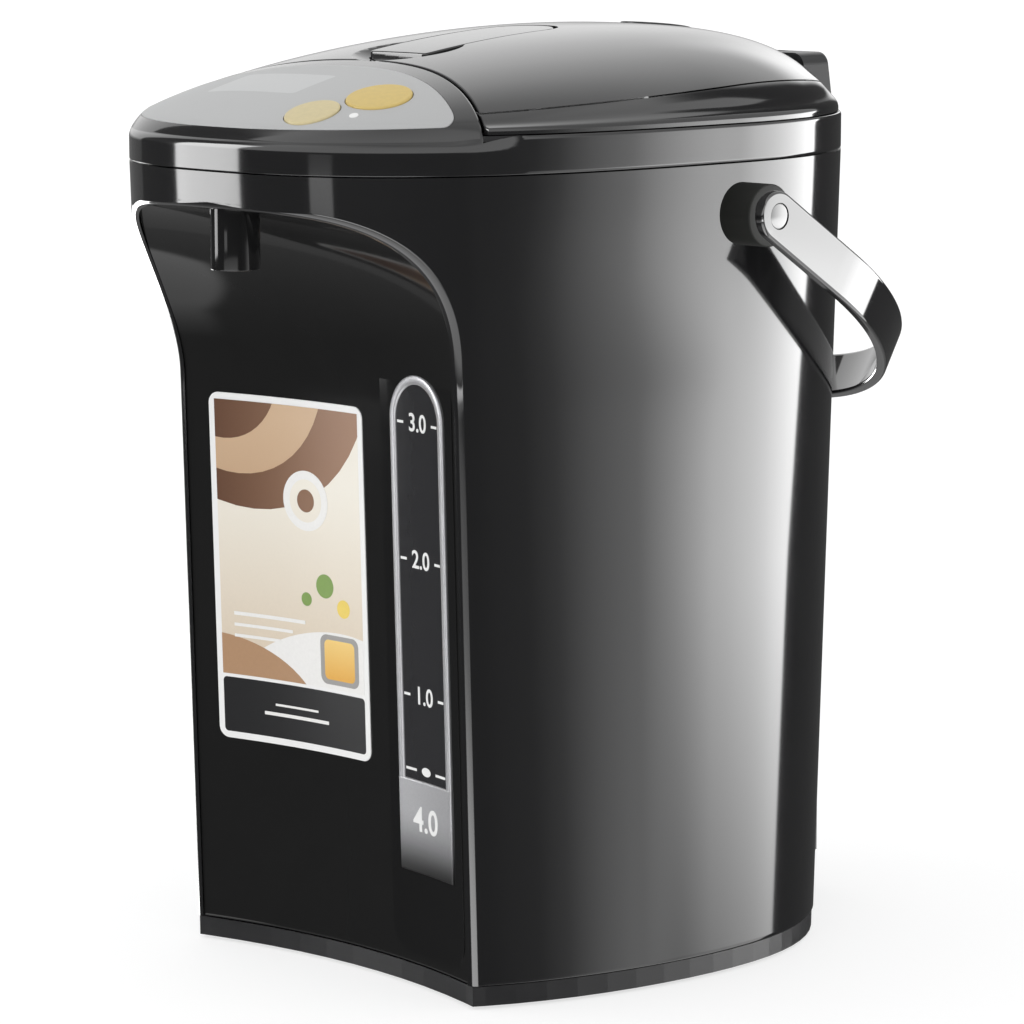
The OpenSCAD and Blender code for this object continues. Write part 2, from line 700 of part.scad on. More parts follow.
module outlet_pipe() color([0.75, 0.75, 0.72]) difference() {
    pierced_hose(concat([toward_spout(0, tube_top - 8)],
        bend(toward_spout(0, outlet_top - 20), toward_spout(0, outlet_top - 6),
             toward_spout(6, outlet_top), toward_spout(18, outlet_top)),
        bend(toward_spout(outlet_run - 8, outlet_top), toward_spout(outlet_run - 3, outlet_top),
             toward_spout(outlet_run, outlet_top - 2), toward_spout(outlet_run, skirt_bottom + 5))),
        [tube_y - spout_y, -gauge_x, 0]);
    translate(tube_at + [0, 0, tube_top - 20]) cylinder(r = tube_r + fit, h = 20);
    translate(spout_at + [0, 0, skirt_bottom]) cylinder(r = spout_neck + fit, h = 8);
}

spout_neck = 4.2;
spout_low = seam_h - 33;
module spout() color([0.08, 0.08, 0.085]) translate([0, spout_y, 0]) difference() {
    union() {
        translate([0, 0, spout_low]) cylinder(r = spout_r, h = skirt_bottom + panel_t - spout_low + 1);
        intersection() {
            translate([0, 0, skirt_bottom + panel_t + seam_gap]) cylinder(r = spout_r + 2, h = 1.5);
            translate([-20, -spout_r, 0]) cube([40, 40, far]);
        }
        translate([0, 0, skirt_bottom]) cylinder(r = spout_neck, h = 8);
    }
    translate([0, 0, spout_low - 1]) cylinder(r = spout_r - 1.8, h = 13);
    translate([0, 0, spout_low]) cylinder(r = spout_neck - 1.4, h = 40);
}

/* ---- Power inlet ---- */

inlet_low = floor_h + 7;
inlet_high = floor_h + 36;
inlet_back = back_at(inlet_low) + 20;
module inlet_block(grow, y0, y1) {
    translate([-inlet_half - grow, y0, inlet_low - grow])
        cube([2 * (inlet_half + grow), y1 - y0, inlet_high - inlet_low + 2 * grow]);
}
module inlet_opening(grow) inlet_block(grow, back_reach - 41, back_reach + 19);
socket_half = [18, 8];
socket_h = (inlet_low + inlet_high) / 2;
module inlet_housing() color([0.08, 0.08, 0.08]) {
    difference() {
        union() {
            inlet_block(0, back_at(inlet_low) - 9, inlet_back);
            translate([-14, back_at(inlet_low) - 12, floor_h]) cube([28, 6, inlet_high - floor_h - 2]);
        }
        translate([-socket_half[0], inlet_back - 13, socket_h - socket_half[1]])
            cube([2 * socket_half[0], 30, 2 * socket_half[1]]);
        for (x = [-7, 7]) translate([x, inlet_back, socket_h]) rotate([90, 0, 0]) cylinder(r = 1.8 + fit, h = 30);
    }
}
module inlet_pins() color([0.8, 0.7, 0.4])
    for (x = [-7, 7]) translate([x, inlet_back - 5, socket_h]) rotate([90, 0, 0]) cylinder(r = 1.8, h = 20);
// Hooded rim round the socket's mouth
module inlet_guard() color([0.08, 0.08, 0.08]) difference() {
    union() {
        inlet_block(2, inlet_back - 8, inlet_back + 1.5);
        translate([-inlet_half - 2, inlet_back - 8, inlet_high + 1]) cube([2 * inlet_half + 4, 5, 5]);
    }
    inlet_block(seam_gap, inlet_back - 9, inlet_back + seam_gap);
    translate([-socket_half[0] - 3, inlet_back - 1, socket_h - socket_half[1] - 3])
        cube([2 * socket_half[0] + 6, 10, 2 * socket_half[1] + 6]);
}
supply_at = [-42, back_reach - 83, floor_h + 6];
supply = [66, 46, 1.6];
module power_board() color([0.16, 0.36, 0.2]) translate(supply_at) {
    cube(supply);
    for (x = [4, supply[0] - 4], y = [4, supply[1] - 4]) translate([x, y, -6]) cylinder(r = 2.5, h = 6.5);
    translate([6, 8, 1]) cube([22, 18, 16]);
    for (k = [0 : 2]) translate([38 + 10 * k, 34, 1]) cylinder(r = 4, h = 13);
}

/* ---- Handle ---- */

spigot_r = 9;
boss_in = half_w + seam_gap;
boss_out = half_w + 13.7;
arm_in = boss_out + seam_gap;
arm_out = arm_in + strap_t;
bail_round = 95;
module both_sides() for (side = [0, 1]) mirror([side, 0, 0]) children();
// Room for the bosses' spigots where they stand above the seam
module spigot_room() both_sides()
    along_x(half_w - wall - 4 - seam_gap, boss_out, 0, pivot_h, spigot_r + 3 + seam_gap);
module handle_bosses() color([0.05, 0.05, 0.05]) both_sides() difference() {
    union() {
        along_x(boss_in, boss_out, 0, pivot_h, boss_r);
        along_x(half_w - wall - 4, boss_in + 1, 0, pivot_h, spigot_r);
        along_x(half_w - wall - 4, half_w - wall - seam_gap - 0.3, 0, pivot_h, spigot_r + 3);
    }
    along_x(half_w - 12, boss_out + 1, 0, pivot_h, pin_r + fit);
}
module handle_pins() color([0.7, 0.7, 0.7]) both_sides()
    along_x(half_w - wall - 3.5, arm_out - 1.5, 0, pivot_h, pin_r);
// Strap bent into a horseshoe in the plane of its pivots
module bail_plan(grow) {
    w = arm_out - grow;
    l = bail_l - grow;
    r = bail_round - grow;
    translate([-w, 0]) square([2 * w, l - r]);
    translate([-w + r, 0]) square([2 * (w - r), l]);
    for (x = [-1, 1]) translate([x * (w - r), l - r]) circle(r = r, $fn = 128);
}
module handle_bail() color([0.1, 0.1, 0.1]) translate([0, 0, pivot_h]) rotate([-bail_dip, 0, 0]) difference() {
    union() {
        translate([0, 0, -strap_w / 2]) linear_extrude(strap_w) difference() {
            bail_plan(0);
            bail_plan(strap_t);
            translate([-far / 2, -far]) square([far, far]);
        }
        both_sides() along_x(arm_in, arm_out, 0, 0, strap_w / 2);
    }
    both_sides() along_x(arm_in - 1, arm_out + 1, 0, 0, pin_r + 0.05);
}

/* ---- Lid ---- */

lid_low = rim_h + seam_gap;
lid_floor = 3;
plug_r = well_r - 4;
plug_low = neck_h + 6;
hinge_y = back_reach - 5;
hinge_z = rim_h + 11;
hinge_top = rim_h + 18.5;
hinge_front = hinge_y - 6.5;
hinge_half = hinge_w / 2 + 6;
knuckle_r = 5;
knuckle_half = 20;
notch_y = hinge_y - norm([hinge_top - hinge_z, hinge_y - hinge_front]) - 0.6;
part_rise = 11.5;
part_lean = 0.048;

module lid_plan() difference() {
    polygon(plan_line(seam_h, lid_inset));
    translate([0, seam_cy]) circle(r = seam_r + lid_gap, $fn = 160);
    translate([-hinge_half - 1, notch_y]) square([2 * hinge_half + 2, 60]);
}
module lid_form() translate([0, 0, rim_h - 20]) linear_extrude(80) lid_plan();
module above_parting(lift) translate([0, 0, rim_h + part_rise + lift]) rotate([atan(part_lean), 0, 0])
    translate([-far / 2, -far / 2, 0]) cube([far, far, far]);
// Walls of the lid along the seam and the hinge notch
module lid_ends() intersection() {
    crown(lid_inset, 0, lid_end);
    lid_form();
    union() {
        seam_disc(seam_r + lid_gap + wall, rim_h - 1, far);
        translate([-hinge_half - 3, notch_y - wall, rim_h - 1]) cube([2 * hinge_half + 6, 30, far]);
    }
}
module lid_skin() intersection() {
    crown_shell(lid_inset, 0, wall, lid_inset + wall, lid_end);
    lid_form();
}
module lid_base() color([0.1, 0.1, 0.11]) {
    difference() {
        union() {
            lid_skin();
            lid_ends();
            intersection() {
                shoulder_plate(rim_h, lid_low + lid_floor, lid_inset + wall / 2);
                lid_form();
            }
        }
        above_parting(0);
        translate([-far / 2, -far / 2, rim_h - 30]) cube([far, far, 30 + seam_gap]);
        translate([-latch_w / 2 - 0.3, -seam_front, latch_low - 0.3]) cube([latch_w + 0.6, 8, latch_t + 0.6]);
        tank_place() translate([0, vent_back, rim_h - 1]) cylinder(r = 8, h = 10);
        spigot_room();
    }
    tank_place() ring_body(mouth_r, plug_r, plug_low, lid_low + 1);
    difference() {
        union() {
            along_x(-knuckle_half, knuckle_half, hinge_y, hinge_z, knuckle_r);
            translate([-knuckle_half, notch_y - 1, hinge_z - knuckle_r]) cube([2 * knuckle_half, hinge_y - notch_y + 1, 4]);
        }
        along_x(-far / 2, far / 2, hinge_y, hinge_z, hinge_pin_r + 0.05);
    }
}

lever_front = -67;
lever_tip_y = lever_front + lever_l;
lever_gap = 0.5;
lever_slack = 1.6;  // more room behind its round end, which dips as the lever lifts
lever_pin_r = 1.2;
ear_at = lever_w / 2 - 8;  // pivot ears keep clear of the pocket's round end
lever_pin_y = lever_tip_y - 4;
lever_pin_z = crown_z(lever_pin_y, 0, 0) - lever_t - 1.6;
pocket_drop = lever_t + 6;
dish_r = 40;
dish_depth = 5;
dish_z = crown_z(lever_front, 0, 0) + dish_r - dish_depth;
// Tongue with a round rear end; grow widens it, slack lengthens it to the rear
module lever_plan(grow, slack) {
    translate([-lever_w / 2 - grow, lever_front - grow])
        square([lever_w + 2 * grow, lever_l - lever_w / 2 + grow]);
    translate([0, lever_tip_y - lever_w / 2 + slack]) circle(r = lever_w / 2 + grow, $fn = 64);
}
module lever_prism(grow, slack) translate([0, 0, rim_h]) linear_extrude(60) lever_plan(grow, slack);
vent_back = 56;
cap_r = 13;
module lid_cover() color([0.11, 0.11, 0.12]) difference() {
    union() {
        intersection() {
            union() {
                lid_skin();
                lid_ends();
            }
            above_parting(seam_gap);
        }
        // pocket under the lever and the finger dish in front of it
        intersection() {
            crown(lid_inset, 1, lever_front - 6, lever_tip_y + 8);
            translate([0, 0, -pocket_drop - 1.6]) crown_above();
            lever_prism(2.2, lever_slack);
        }
        intersection() {
            crown(lid_inset, 1, lid_end, lever_front + 30);
            translate([0, lever_front, dish_z]) sphere(r = dish_r + 2, $fn = 96);
            lid_form();
        }
    }
    intersection() {
        translate([0, 0, -pocket_drop]) crown_above();
        lever_prism(lever_gap, lever_slack);
    }
    translate([0, lever_front, dish_z]) sphere(r = dish_r, $fn = 96);
    along_x(-lever_w / 2 - 2, lever_w / 2 + 2, lever_pin_y, lever_pin_z, lever_pin_r + fit);
    tank_place() translate([0, vent_back, rim_h]) cylinder(r = cap_r + seam_gap, h = 60);
}
// Space above the crown's surface over the lever
module crown_above() difference() {
    translate([-lever_w, lever_front - 8, rim_h]) cube([2 * lever_w, lever_l + 18, 60]);
    crown(lid_inset, 0, lever_front - 10, lever_tip_y + 12);
}
module lid_lever() color([0.13, 0.13, 0.14]) difference() {
    union() {
        intersection() {
            crown_shell(lid_inset, 0, lever_t, 0, lever_front - 4, lever_tip_y + 4);
            lever_prism(0, 0);
        }
        for (x = [-1, 1]) along_x(x * ear_at - 2, x * ear_at + 2, lever_pin_y, lever_pin_z, 2.6);
    }
    along_x(-far / 2, far / 2, lever_pin_y, lever_pin_z, lever_pin_r + 0.05);
}
module lever_pin() color([0.75, 0.75, 0.76])
    along_x(-lever_w / 2 - 1.8, lever_w / 2 + 1.8, lever_pin_y, lever_pin_z, lever_pin_r);

latch_w = 20;
latch_t = 3;
latch_low = lid_low + lid_floor + seam_gap;
latch_travel = 4;
module latch_slide() color([0.85, 0.85, 0.83]) difference() {
    translate([-latch_w / 2, -seam_front + lid_gap + 0.2, latch_low]) cube([latch_w, 34, latch_t]);
    translate([-latch_w / 2 + 4, -seam_front + 18, latch_low - 1]) cube([latch_w - 8, 10, latch_t + 2]);
}

module lid_plate() color([0.75, 0.76, 0.77]) tank_place() rotate_extrude($fn = 96) polygon([
    [0, plug_low - 10], [mouth_r - 16, plug_low - 10], [mouth_r - 10, plug_low - 1.2], [mouth_r + 1.5, plug_low - 1.2],
    [mouth_r + 1.5, plug_low], [mouth_r - 11, plug_low], [mouth_r - 17, plug_low - 8.8], [0, plug_low - 8.8]]);
module lid_gasket() color([0.85, 0.85, 0.84]) tank_place()
    ring_body(mouth_r + 2, plug_r - 0.5, neck_h + flange_t + seam_gap, plug_low);
module steam_cap() color([0.08, 0.08, 0.085]) difference() {
    intersection() {
        crown_shell(lid_inset, -0.6, wall, 0, tank_back + vent_back - cap_r - 3, tank_back + vent_back + cap_r + 3);
        tank_place() translate([0, vent_back, rim_h]) cylinder(r = cap_r, h = 60);
    }
    tank_place() for (k = [-2 : 2]) translate([-6, vent_back + 3.6 * k - 0.8, rim_h]) cube([12, 1.6, 60]);
}

module hinge_block() color([0.04, 0.04, 0.04]) difference() {
    translate([0, back_reach + 2, 0]) rotate([90, 0, 0]) linear_extrude(back_reach + 2 - hinge_front) hull() {
        translate([-hinge_half, rim_h]) square([2 * hinge_half, 1]);
        for (x = [-1, 1]) translate([x * (hinge_half - 7), hinge_top - 5]) circle(r = 5);
    }
    translate([-knuckle_half - 0.4, hinge_front - 1, rim_h + 2])
        cube([2 * knuckle_half + 0.8, hinge_y + knuckle_r + 0.3 - hinge_front + 1, 60]);
    along_x(-hinge_half + 6, hinge_half - 6, hinge_y, hinge_z, hinge_pin_r + fit);
}
module hinge_pin() color([0.75, 0.75, 0.76])
    along_x(-hinge_half + 6.5, hinge_half - 6.5, hinge_y, hinge_z, hinge_pin_r);

outer_sleeve();
front_panel();
gauge_strip();
label_plate();
gauge_frame();
gauge_window();
gauge_tube();
top_frame();
control_panel();
display_window();
lock_lamp();
dispense_button();
unlock_button();
control_board();
base_cover();
base_screws();
turntable();
turntable_clip();
rubber_feet();
tank();
insulation_jacket();
heater_plate();
thermostat();
pump_housing();
pump_impeller();
pump_motor();
drive_magnet();
suction_pipe();
riser_pipe();
outlet_pipe();
spout();
power_board();
inlet_housing();
inlet_pins();
inlet_guard();
handle_bosses();
handle_pins();
handle_bail();
lid_base();
lid_cover();
lid_plate();
lid_gasket();
steam_cap();
lid_lever();
lever_pin();
latch_slide();
hinge_block();
hinge_pin();
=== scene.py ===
import bpy
import bmesh
import math
from mathutils import Matrix, Vector


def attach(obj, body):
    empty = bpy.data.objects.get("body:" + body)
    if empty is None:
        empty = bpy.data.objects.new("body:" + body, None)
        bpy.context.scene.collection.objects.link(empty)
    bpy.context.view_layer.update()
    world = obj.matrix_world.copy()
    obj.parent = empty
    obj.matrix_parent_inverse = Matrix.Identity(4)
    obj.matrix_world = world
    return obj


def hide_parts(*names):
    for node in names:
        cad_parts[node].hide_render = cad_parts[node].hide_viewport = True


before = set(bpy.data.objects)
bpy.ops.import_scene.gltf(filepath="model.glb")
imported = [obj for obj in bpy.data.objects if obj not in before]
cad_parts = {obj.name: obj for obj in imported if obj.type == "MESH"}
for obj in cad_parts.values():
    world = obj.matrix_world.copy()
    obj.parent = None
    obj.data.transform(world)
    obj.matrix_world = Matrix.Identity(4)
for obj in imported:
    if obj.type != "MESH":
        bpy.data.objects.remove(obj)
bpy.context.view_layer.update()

mm = 0.001

form = {
    "halfWidth": 97, "backReach": 111, "beakReach": 153, "seamHeight": 280, "rimHeight": 293,
    "crownRise": 30.5, "crownTop": 22.9, "wall": 2.4, "backLean": 0.054, "noseTaper": 0.0783,
    "footFront": 99.8, "frontLean": 0.031, "bowHalf": 70, "bowDepth": 10,
    "coveLow": 200, "coveReach": 50, "skirtBottom": 268.3, "sleeveLow": 8.2,
    "seamRadius": 145, "seamCentre": -226, "lidGap": 0.8, "tankY": 6, "covePower": 2.2,
    "panelInset": 2.6, "panelHalf": 78,
}
# powers of the plan's curves, as (across, along): they change from low to high between two heights
plan = {"rear": 2.26, "low": (2.35, 1.82), "high": (2.6, 2.84), "blendFrom": 205, "blendOver": 57}
# powers of the crown's curves: from its top to the nose, to the back and to the sides
crown = {"front": (1.9, 1.2), "rear": (2.42, 2.25), "side": (2.7, 1.33)}


def easeStep(t):
    t = min(max(t, 0), 1)
    return t * t * (3 - 2 * t)


def signedPow(v, e):
    return math.copysign(abs(v) ** e, v)


def backAt(z):
    return form["backReach"] - form["backLean"] * max(form["seamHeight"] - z, 0)


def noseAt(z):
    return form["beakReach"] * (1 - form["noseTaper"] * max(form["seamHeight"] - z, 0) / form["seamHeight"])


def planPow(z):
    t = easeStep((z - plan["blendFrom"]) / plan["blendOver"])
    return tuple(low + (high - low) * t for low, high in zip(plan["low"], plan["high"]))


def planPoint(a, z, inset=0):
    c, s = math.cos(a), math.sin(a)
    w = form["halfWidth"] - inset
    if s >= 0:
        power = 2 / plan["rear"]
        return Vector((w * signedPow(c, power), (backAt(z) - inset) * abs(s) ** power, z))
    p0, p1 = planPow(z)
    return Vector((w * signedPow(c, 2 / p0), -(noseAt(z) - inset) * abs(s) ** (2 / p1), z))


def planSide(y, z, inset=0):
    w = form["halfWidth"] - inset
    if y >= 0:
        return w * max(1 - (y / (backAt(z) - inset)) ** plan["rear"], 0) ** (1 / plan["rear"])
    p0, p1 = planPow(z)
    return w * max(1 - min(-y / (noseAt(z) - inset), 1) ** p1, 0) ** (1 / p0)


def planAngle(x, y, z, inset=0):
    p0, p1 = planPow(z)
    c = (abs(x) / (form["halfWidth"] - inset)) ** (p0 / 2)
    s = (abs(y) / (noseAt(z) - inset)) ** (p1 / 2)
    return math.atan2(-s, c)


def planNormal(a, z):
    along = planPoint(a + 0.004, z) - planPoint(a - 0.004, z)
    up = planPoint(a, z + 0.5) - planPoint(a, z - 0.5)
    return along.cross(up).normalized()


def frontY(z):
    return -(form["footFront"] + form["frontLean"] * z)


def bow(x):
    return form["bowDepth"] * (1 - (x / form["bowHalf"]) ** 2)


def covePoint(t):
    z = form["coveLow"] + (form["skirtBottom"] - form["coveLow"]) * math.sin(t) ** (2 / form["covePower"])
    return frontY(z) - form["coveReach"] * (1 - math.cos(t)), z


def ridge(y):
    if y < form["crownTop"]:
        t = min((form["crownTop"] - y) / (form["beakReach"] + form["crownTop"]), 1)
        powers = crown["front"]
    else:
        t = min((y - form["crownTop"]) / (form["backReach"] - form["crownTop"]), 1)
        powers = crown["rear"]
    return form["crownRise"] * (1 - t ** powers[0]) ** (1 / powers[1])


def crownZ(x, y, inset=0):
    side = planSide(y, 300, inset)
    s = min(abs(x) / side, 1) if side > 0 else 1
    return form["rimHeight"] + ridge(y) * (1 - s ** crown["side"][0]) ** (1 / crown["side"][1])


def crownNormal(x, y, inset=0):
    d = 0.05
    dx = (crownZ(x + d, y, inset) - crownZ(x - d, y, inset)) / (2 * d)
    dy = (crownZ(x, y + d, inset) - crownZ(x, y - d, inset)) / (2 * d)
    return Vector((-dx, -dy, 1)).normalized()


def makeFinish(name, color, rough, metallic=0.0, coat=0.0, ior=1.5, tint=0.06, grain=180.0,
               roughSpread=0.04, bump=0.0, bumpGrain=900.0, stretch=(1, 1, 1), alpha=1.0, transmission=0.0):
    mat = bpy.data.materials.new(name)
    mat.use_nodes = True
    nodes, links = mat.node_tree.nodes, mat.node_tree.links
    shader = nodes["Principled BSDF"]
    coords = nodes.new("ShaderNodeTexCoord")
    place = nodes.new("ShaderNodeMapping")
    place.inputs["Scale"].default_value = stretch
    links.new(coords.outputs["Object"], place.inputs["Vector"])
    mottle = nodes.new("ShaderNodeTexNoise")
    mottle.inputs["Scale"].default_value = grain
    mottle.inputs["Detail"].default_value = 4
    links.new(place.outputs["Vector"], mottle.inputs["Vector"])
    shade = nodes.new("ShaderNodeMix")
    shade.data_type = "RGBA"
    shade.inputs["A"].default_value = [c * (1 - tint) for c in color] + [1]
    shade.inputs["B"].default_value = [min(c * (1 + tint), 1) for c in color] + [1]
    links.new(mottle.outputs["Fac"], shade.inputs["Factor"])
    links.new(shade.outputs["Result"], shader.inputs["Base Color"])
    spread = nodes.new("ShaderNodeMapRange")
    spread.inputs["To Min"].default_value = max(rough - roughSpread, 0.01)
    spread.inputs["To Max"].default_value = min(rough + roughSpread, 1)
    links.new(mottle.outputs["Fac"], spread.inputs["Value"])
    links.new(spread.outputs["Result"], shader.inputs["Roughness"])
    if bump:
        fine = nodes.new("ShaderNodeTexNoise")
        fine.inputs["Scale"].default_value = bumpGrain
        fine.inputs["Detail"].default_value = 3
        links.new(place.outputs["Vector"], fine.inputs["Vector"])
        relief = nodes.new("ShaderNodeBump")
        relief.inputs["Strength"].default_value = bump
        relief.inputs["Distance"].default_value = 0.0002
        links.new(fine.outputs["Fac"], relief.inputs["Height"])
        links.new(relief.outputs["Normal"], shader.inputs["Normal"])
    shader.inputs["Metallic"].default_value = metallic
    shader.inputs["IOR"].default_value = ior
    shader.inputs["Coat Weight"].default_value = coat
    shader.inputs["Coat Roughness"].default_value = 0.04
    shader.inputs["Alpha"].default_value = alpha
    shader.inputs["Transmission Weight"].default_value = transmission
    return mat


lacquer = makeFinish("black lacquer", (0.012, 0.012, 0.0125), 0.09, coat=0.6, grain=60, roughSpread=0.02)
glossPlastic = makeFinish("black gloss plastic", (0.009, 0.009, 0.0092), 0.06, grain=80, roughSpread=0.02)
frontBlack = makeFinish("black front plastic", (0.0125, 0.0125, 0.0125), 0.07, ior=1.36, grain=80,
                        roughSpread=0.02)
strapBlack = makeFinish("black strap plastic", (0.012, 0.012, 0.0125), 0.05, coat=1.0, ior=1.85, grain=80,
                        roughSpread=0.01)
deepBlack = makeFinish("black moulded plastic", (0.016, 0.0165, 0.015), 0.45, ior=1.3)
satinBlack = makeFinish("black satin plastic", (0.014, 0.014, 0.015), 0.32, bump=0.12, bumpGrain=2500)
mattBlack = makeFinish("black matt plastic", (0.02, 0.02, 0.022), 0.5, bump=0.3, bumpGrain=2200)
silverPaint = makeFinish("silver paint", (0.5, 0.5, 0.515), 0.33, metallic=0.55, grain=1500, tint=0.1)
smokedWindow = makeFinish("smoked window", (0.026, 0.026, 0.028), 0.14)
panelFilm = makeFinish("panel film", (0.44, 0.443, 0.443), 0.5, grain=2200, tint=0.05)
displayFilm = makeFinish("display film", (0.5, 0.505, 0.505), 0.42, grain=700)
amberCap = makeFinish("amber cap", (0.62, 0.46, 0.15), 0.5, grain=500, tint=0.1)
paleAmberCap = makeFinish("pale amber cap", (0.6, 0.51, 0.29), 0.5, grain=500, tint=0.1)
steel = makeFinish("drawn steel", (0.58, 0.58, 0.58), 0.26, metallic=1.0, grain=40, stretch=(30, 30, 1),
                   roughSpread=0.06)
plainSteel = makeFinish("plated steel", (0.6, 0.6, 0.61), 0.22, metallic=1.0, grain=900)
whiteRubber = makeFinish("pale silicone", (0.7, 0.7, 0.69), 0.55, bump=0.1)
feltMat = makeFinish("felted mat", (0.5, 0.48, 0.42), 0.9, tint=0.25, grain=400, bump=0.8, bumpGrain=700)
paleNylon = makeFinish("natural nylon", (0.72, 0.72, 0.68), 0.45)
boardGreen = makeFinish("board green", (0.03, 0.14, 0.06), 0.4)
darkRubber = makeFinish("dark rubber", (0.03, 0.03, 0.03), 0.7, bump=0.3)
brassPlate = makeFinish("brass pins", (0.7, 0.52, 0.22), 0.25, metallic=1.0)
clearGlass = makeFinish("clear tube", (0.85, 0.9, 0.92), 0.05, transmission=0.9)
lampLens = makeFinish("lamp lens", (0.85, 0.85, 0.84), 0.15)
printWhite = makeFinish("printed white", (0.84, 0.84, 0.83), 0.3, tint=0.02)

nodeFinishes = {
    "gauge_tube": clearGlass, "control_board": boardGreen,
    "base_cover": satinBlack, "base_screws": plainSteel,
    "turntable": mattBlack, "turntable_clip": plainSteel, "rubber_feet": darkRubber,
    "insulation_jacket": feltMat, "heater_plate": plainSteel, "thermostat": paleNylon,
    "pump_housing": paleNylon, "pump_impeller": paleNylon, "pump_motor": plainSteel,
    "drive_magnet": darkRubber, "suction_pipe": whiteRubber, "riser_pipe": whiteRubber,
    "outlet_pipe": whiteRubber, "power_board": boardGreen, "inlet_housing": satinBlack,
    "inlet_pins": brassPlate, "inlet_guard": satinBlack, "lever_pin": plainSteel,
    "latch_slide": paleNylon, "hinge_pin": plainSteel, "hinge_block": satinBlack,
}
for nodeName, finish in nodeFinishes.items():
    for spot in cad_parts[nodeName].material_slots:
        spot.material = finish
print("materials ready")


# place(i, j) gives the point in millimetres
def gridSheet(columns, rows, place):
    bm = bmesh.new()
    bmesh.ops.create_grid(bm, x_segments=columns, y_segments=rows, size=1)
    for v in bm.verts:
        i = round((v.co.x + 1) / 2 * columns)
        j = round((v.co.y + 1) / 2 * rows)
        v.co = Vector(place(i, j)) * mm
    bmesh.ops.remove_doubles(bm, verts=bm.verts, dist=2e-6)
    return bm


def closedSheet(columns, rows, place):
    bm = gridSheet(columns, rows, place)
    bmesh.ops.recalc_face_normals(bm, faces=bm.faces)
    return bm


# turns an open sheet so that most of it faces away from the axis' positive end
def facingBack(bm, axis):
    if sum(f.normal[axis] * f.calc_area() for f in bm.faces) > 0:
        bmesh.ops.reverse_faces(bm, faces=bm.faces)
    return bm


# blends a finish's colour into another one between two heights or sides, and returns the fade
def fadeInto(mat, axis, low, high, other, otherFirst, smooth=False):
    nodes, links = mat.node_tree.nodes, mat.node_tree.links
    shader = nodes["Principled BSDF"]
    source = shader.inputs["Base Color"].links[0].from_socket
    coords = nodes.new("ShaderNodeTexCoord")
    split = nodes.new("ShaderNodeSeparateXYZ")
    links.new(coords.outputs["Object"], split.inputs["Vector"])
    fade = nodes.new("ShaderNodeMapRange")
    fade.interpolation_type = "SMOOTHSTEP" if smooth else "LINEAR"
    fade.inputs["From Min"].default_value = low * mm
    fade.inputs["From Max"].default_value = high * mm
    links.new(split.outputs[axis], fade.inputs["Value"])
    blend = nodes.new("ShaderNodeMix")
    blend.data_type = "RGBA"
    own, added = ("B", "A") if otherFirst else ("A", "B")
    blend.inputs[added].default_value = list(other) + [1]
    links.new(fade.outputs["Result"], blend.inputs["Factor"])
    links.new(source, blend.inputs[own])
    links.new(blend.outputs["Result"], shader.inputs["Base Color"])
    return fade.outputs["Result"]


def toObject(bm, name, finish):
    mesh = bpy.data.meshes.new(name)
    bm.to_mesh(mesh)
    bm.free()
    piece = bpy.data.objects.new(name, mesh)
    bpy.context.scene.collection.objects.link(piece)
    mesh.materials.append(finish)
    return piece


# hands a finished piece to its body, in place of one node
def seat(piece, body, node):
    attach(piece, body)
    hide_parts(node)


def softShade(piece, degrees=38, weighted=False):
    piece.data.shade_smooth()
    piece.data.set_sharp_from_angle(angle=math.radians(degrees))
    if weighted:
        mod = piece.modifiers.new("weight", "WEIGHTED_NORMAL")
        mod.keep_sharp = True
    return piece


# cuts the cutters out of piece for good
def carve(piece, cutters):
    for cutter in cutters:
        mod = piece.modifiers.new("cut", "BOOLEAN")
        mod.operation = "DIFFERENCE"
        mod.solver = "EXACT"
        mod.object = cutter
    bpy.context.view_layer.update()
    graph = bpy.context.evaluated_depsgraph_get()
    mesh = bpy.data.meshes.new_from_object(piece.evaluated_get(graph))
    piece.modifiers.clear()
    piece.data = mesh
    for cutter in cutters:
        bpy.data.objects.remove(cutter)
    return piece


# normals of the true surface where a face lies on one, smoothed by angle elsewhere
def polish(piece, surfaces, degrees=36):
    mesh = piece.data
    limit = math.cos(math.radians(degrees))
    around = [[] for v in mesh.vertices]
    for face in mesh.polygons:
        for index in face.vertices:
            around[index].append(face.index)
    normals = [face.normal.copy() for face in mesh.polygons]
    areas = [face.area for face in mesh.polygons]
    known = []
    for v in mesh.vertices:
        found = None
        for lies, normalAt in surfaces:
            p = v.co / mm
            if lies(p):
                found = normalAt(p)
                break
        known.append(found)
    corners = [None] * len(mesh.loops)
    for face in mesh.polygons:
        own = normals[face.index]
        for loopIndex in face.loop_indices:
            index = mesh.loops[loopIndex].vertex_index
            true = known[index]
            if true is not None and true.dot(own) > limit:
                corners[loopIndex] = true
                continue
            total = Vector((0, 0, 0))
            for other in around[index]:
                if normals[other].dot(own) > limit:
                    total += normals[other] * areas[other]
            corners[loopIndex] = total.normalized() if total.length > 0 else own
    mesh.shade_smooth()
    mesh.normals_split_custom_set(corners)
    return piece


def thicken(piece):
    thick = piece.modifiers.new("thick", "SOLIDIFY")
    thick.thickness = 1.6 * mm
    thick.offset = -1


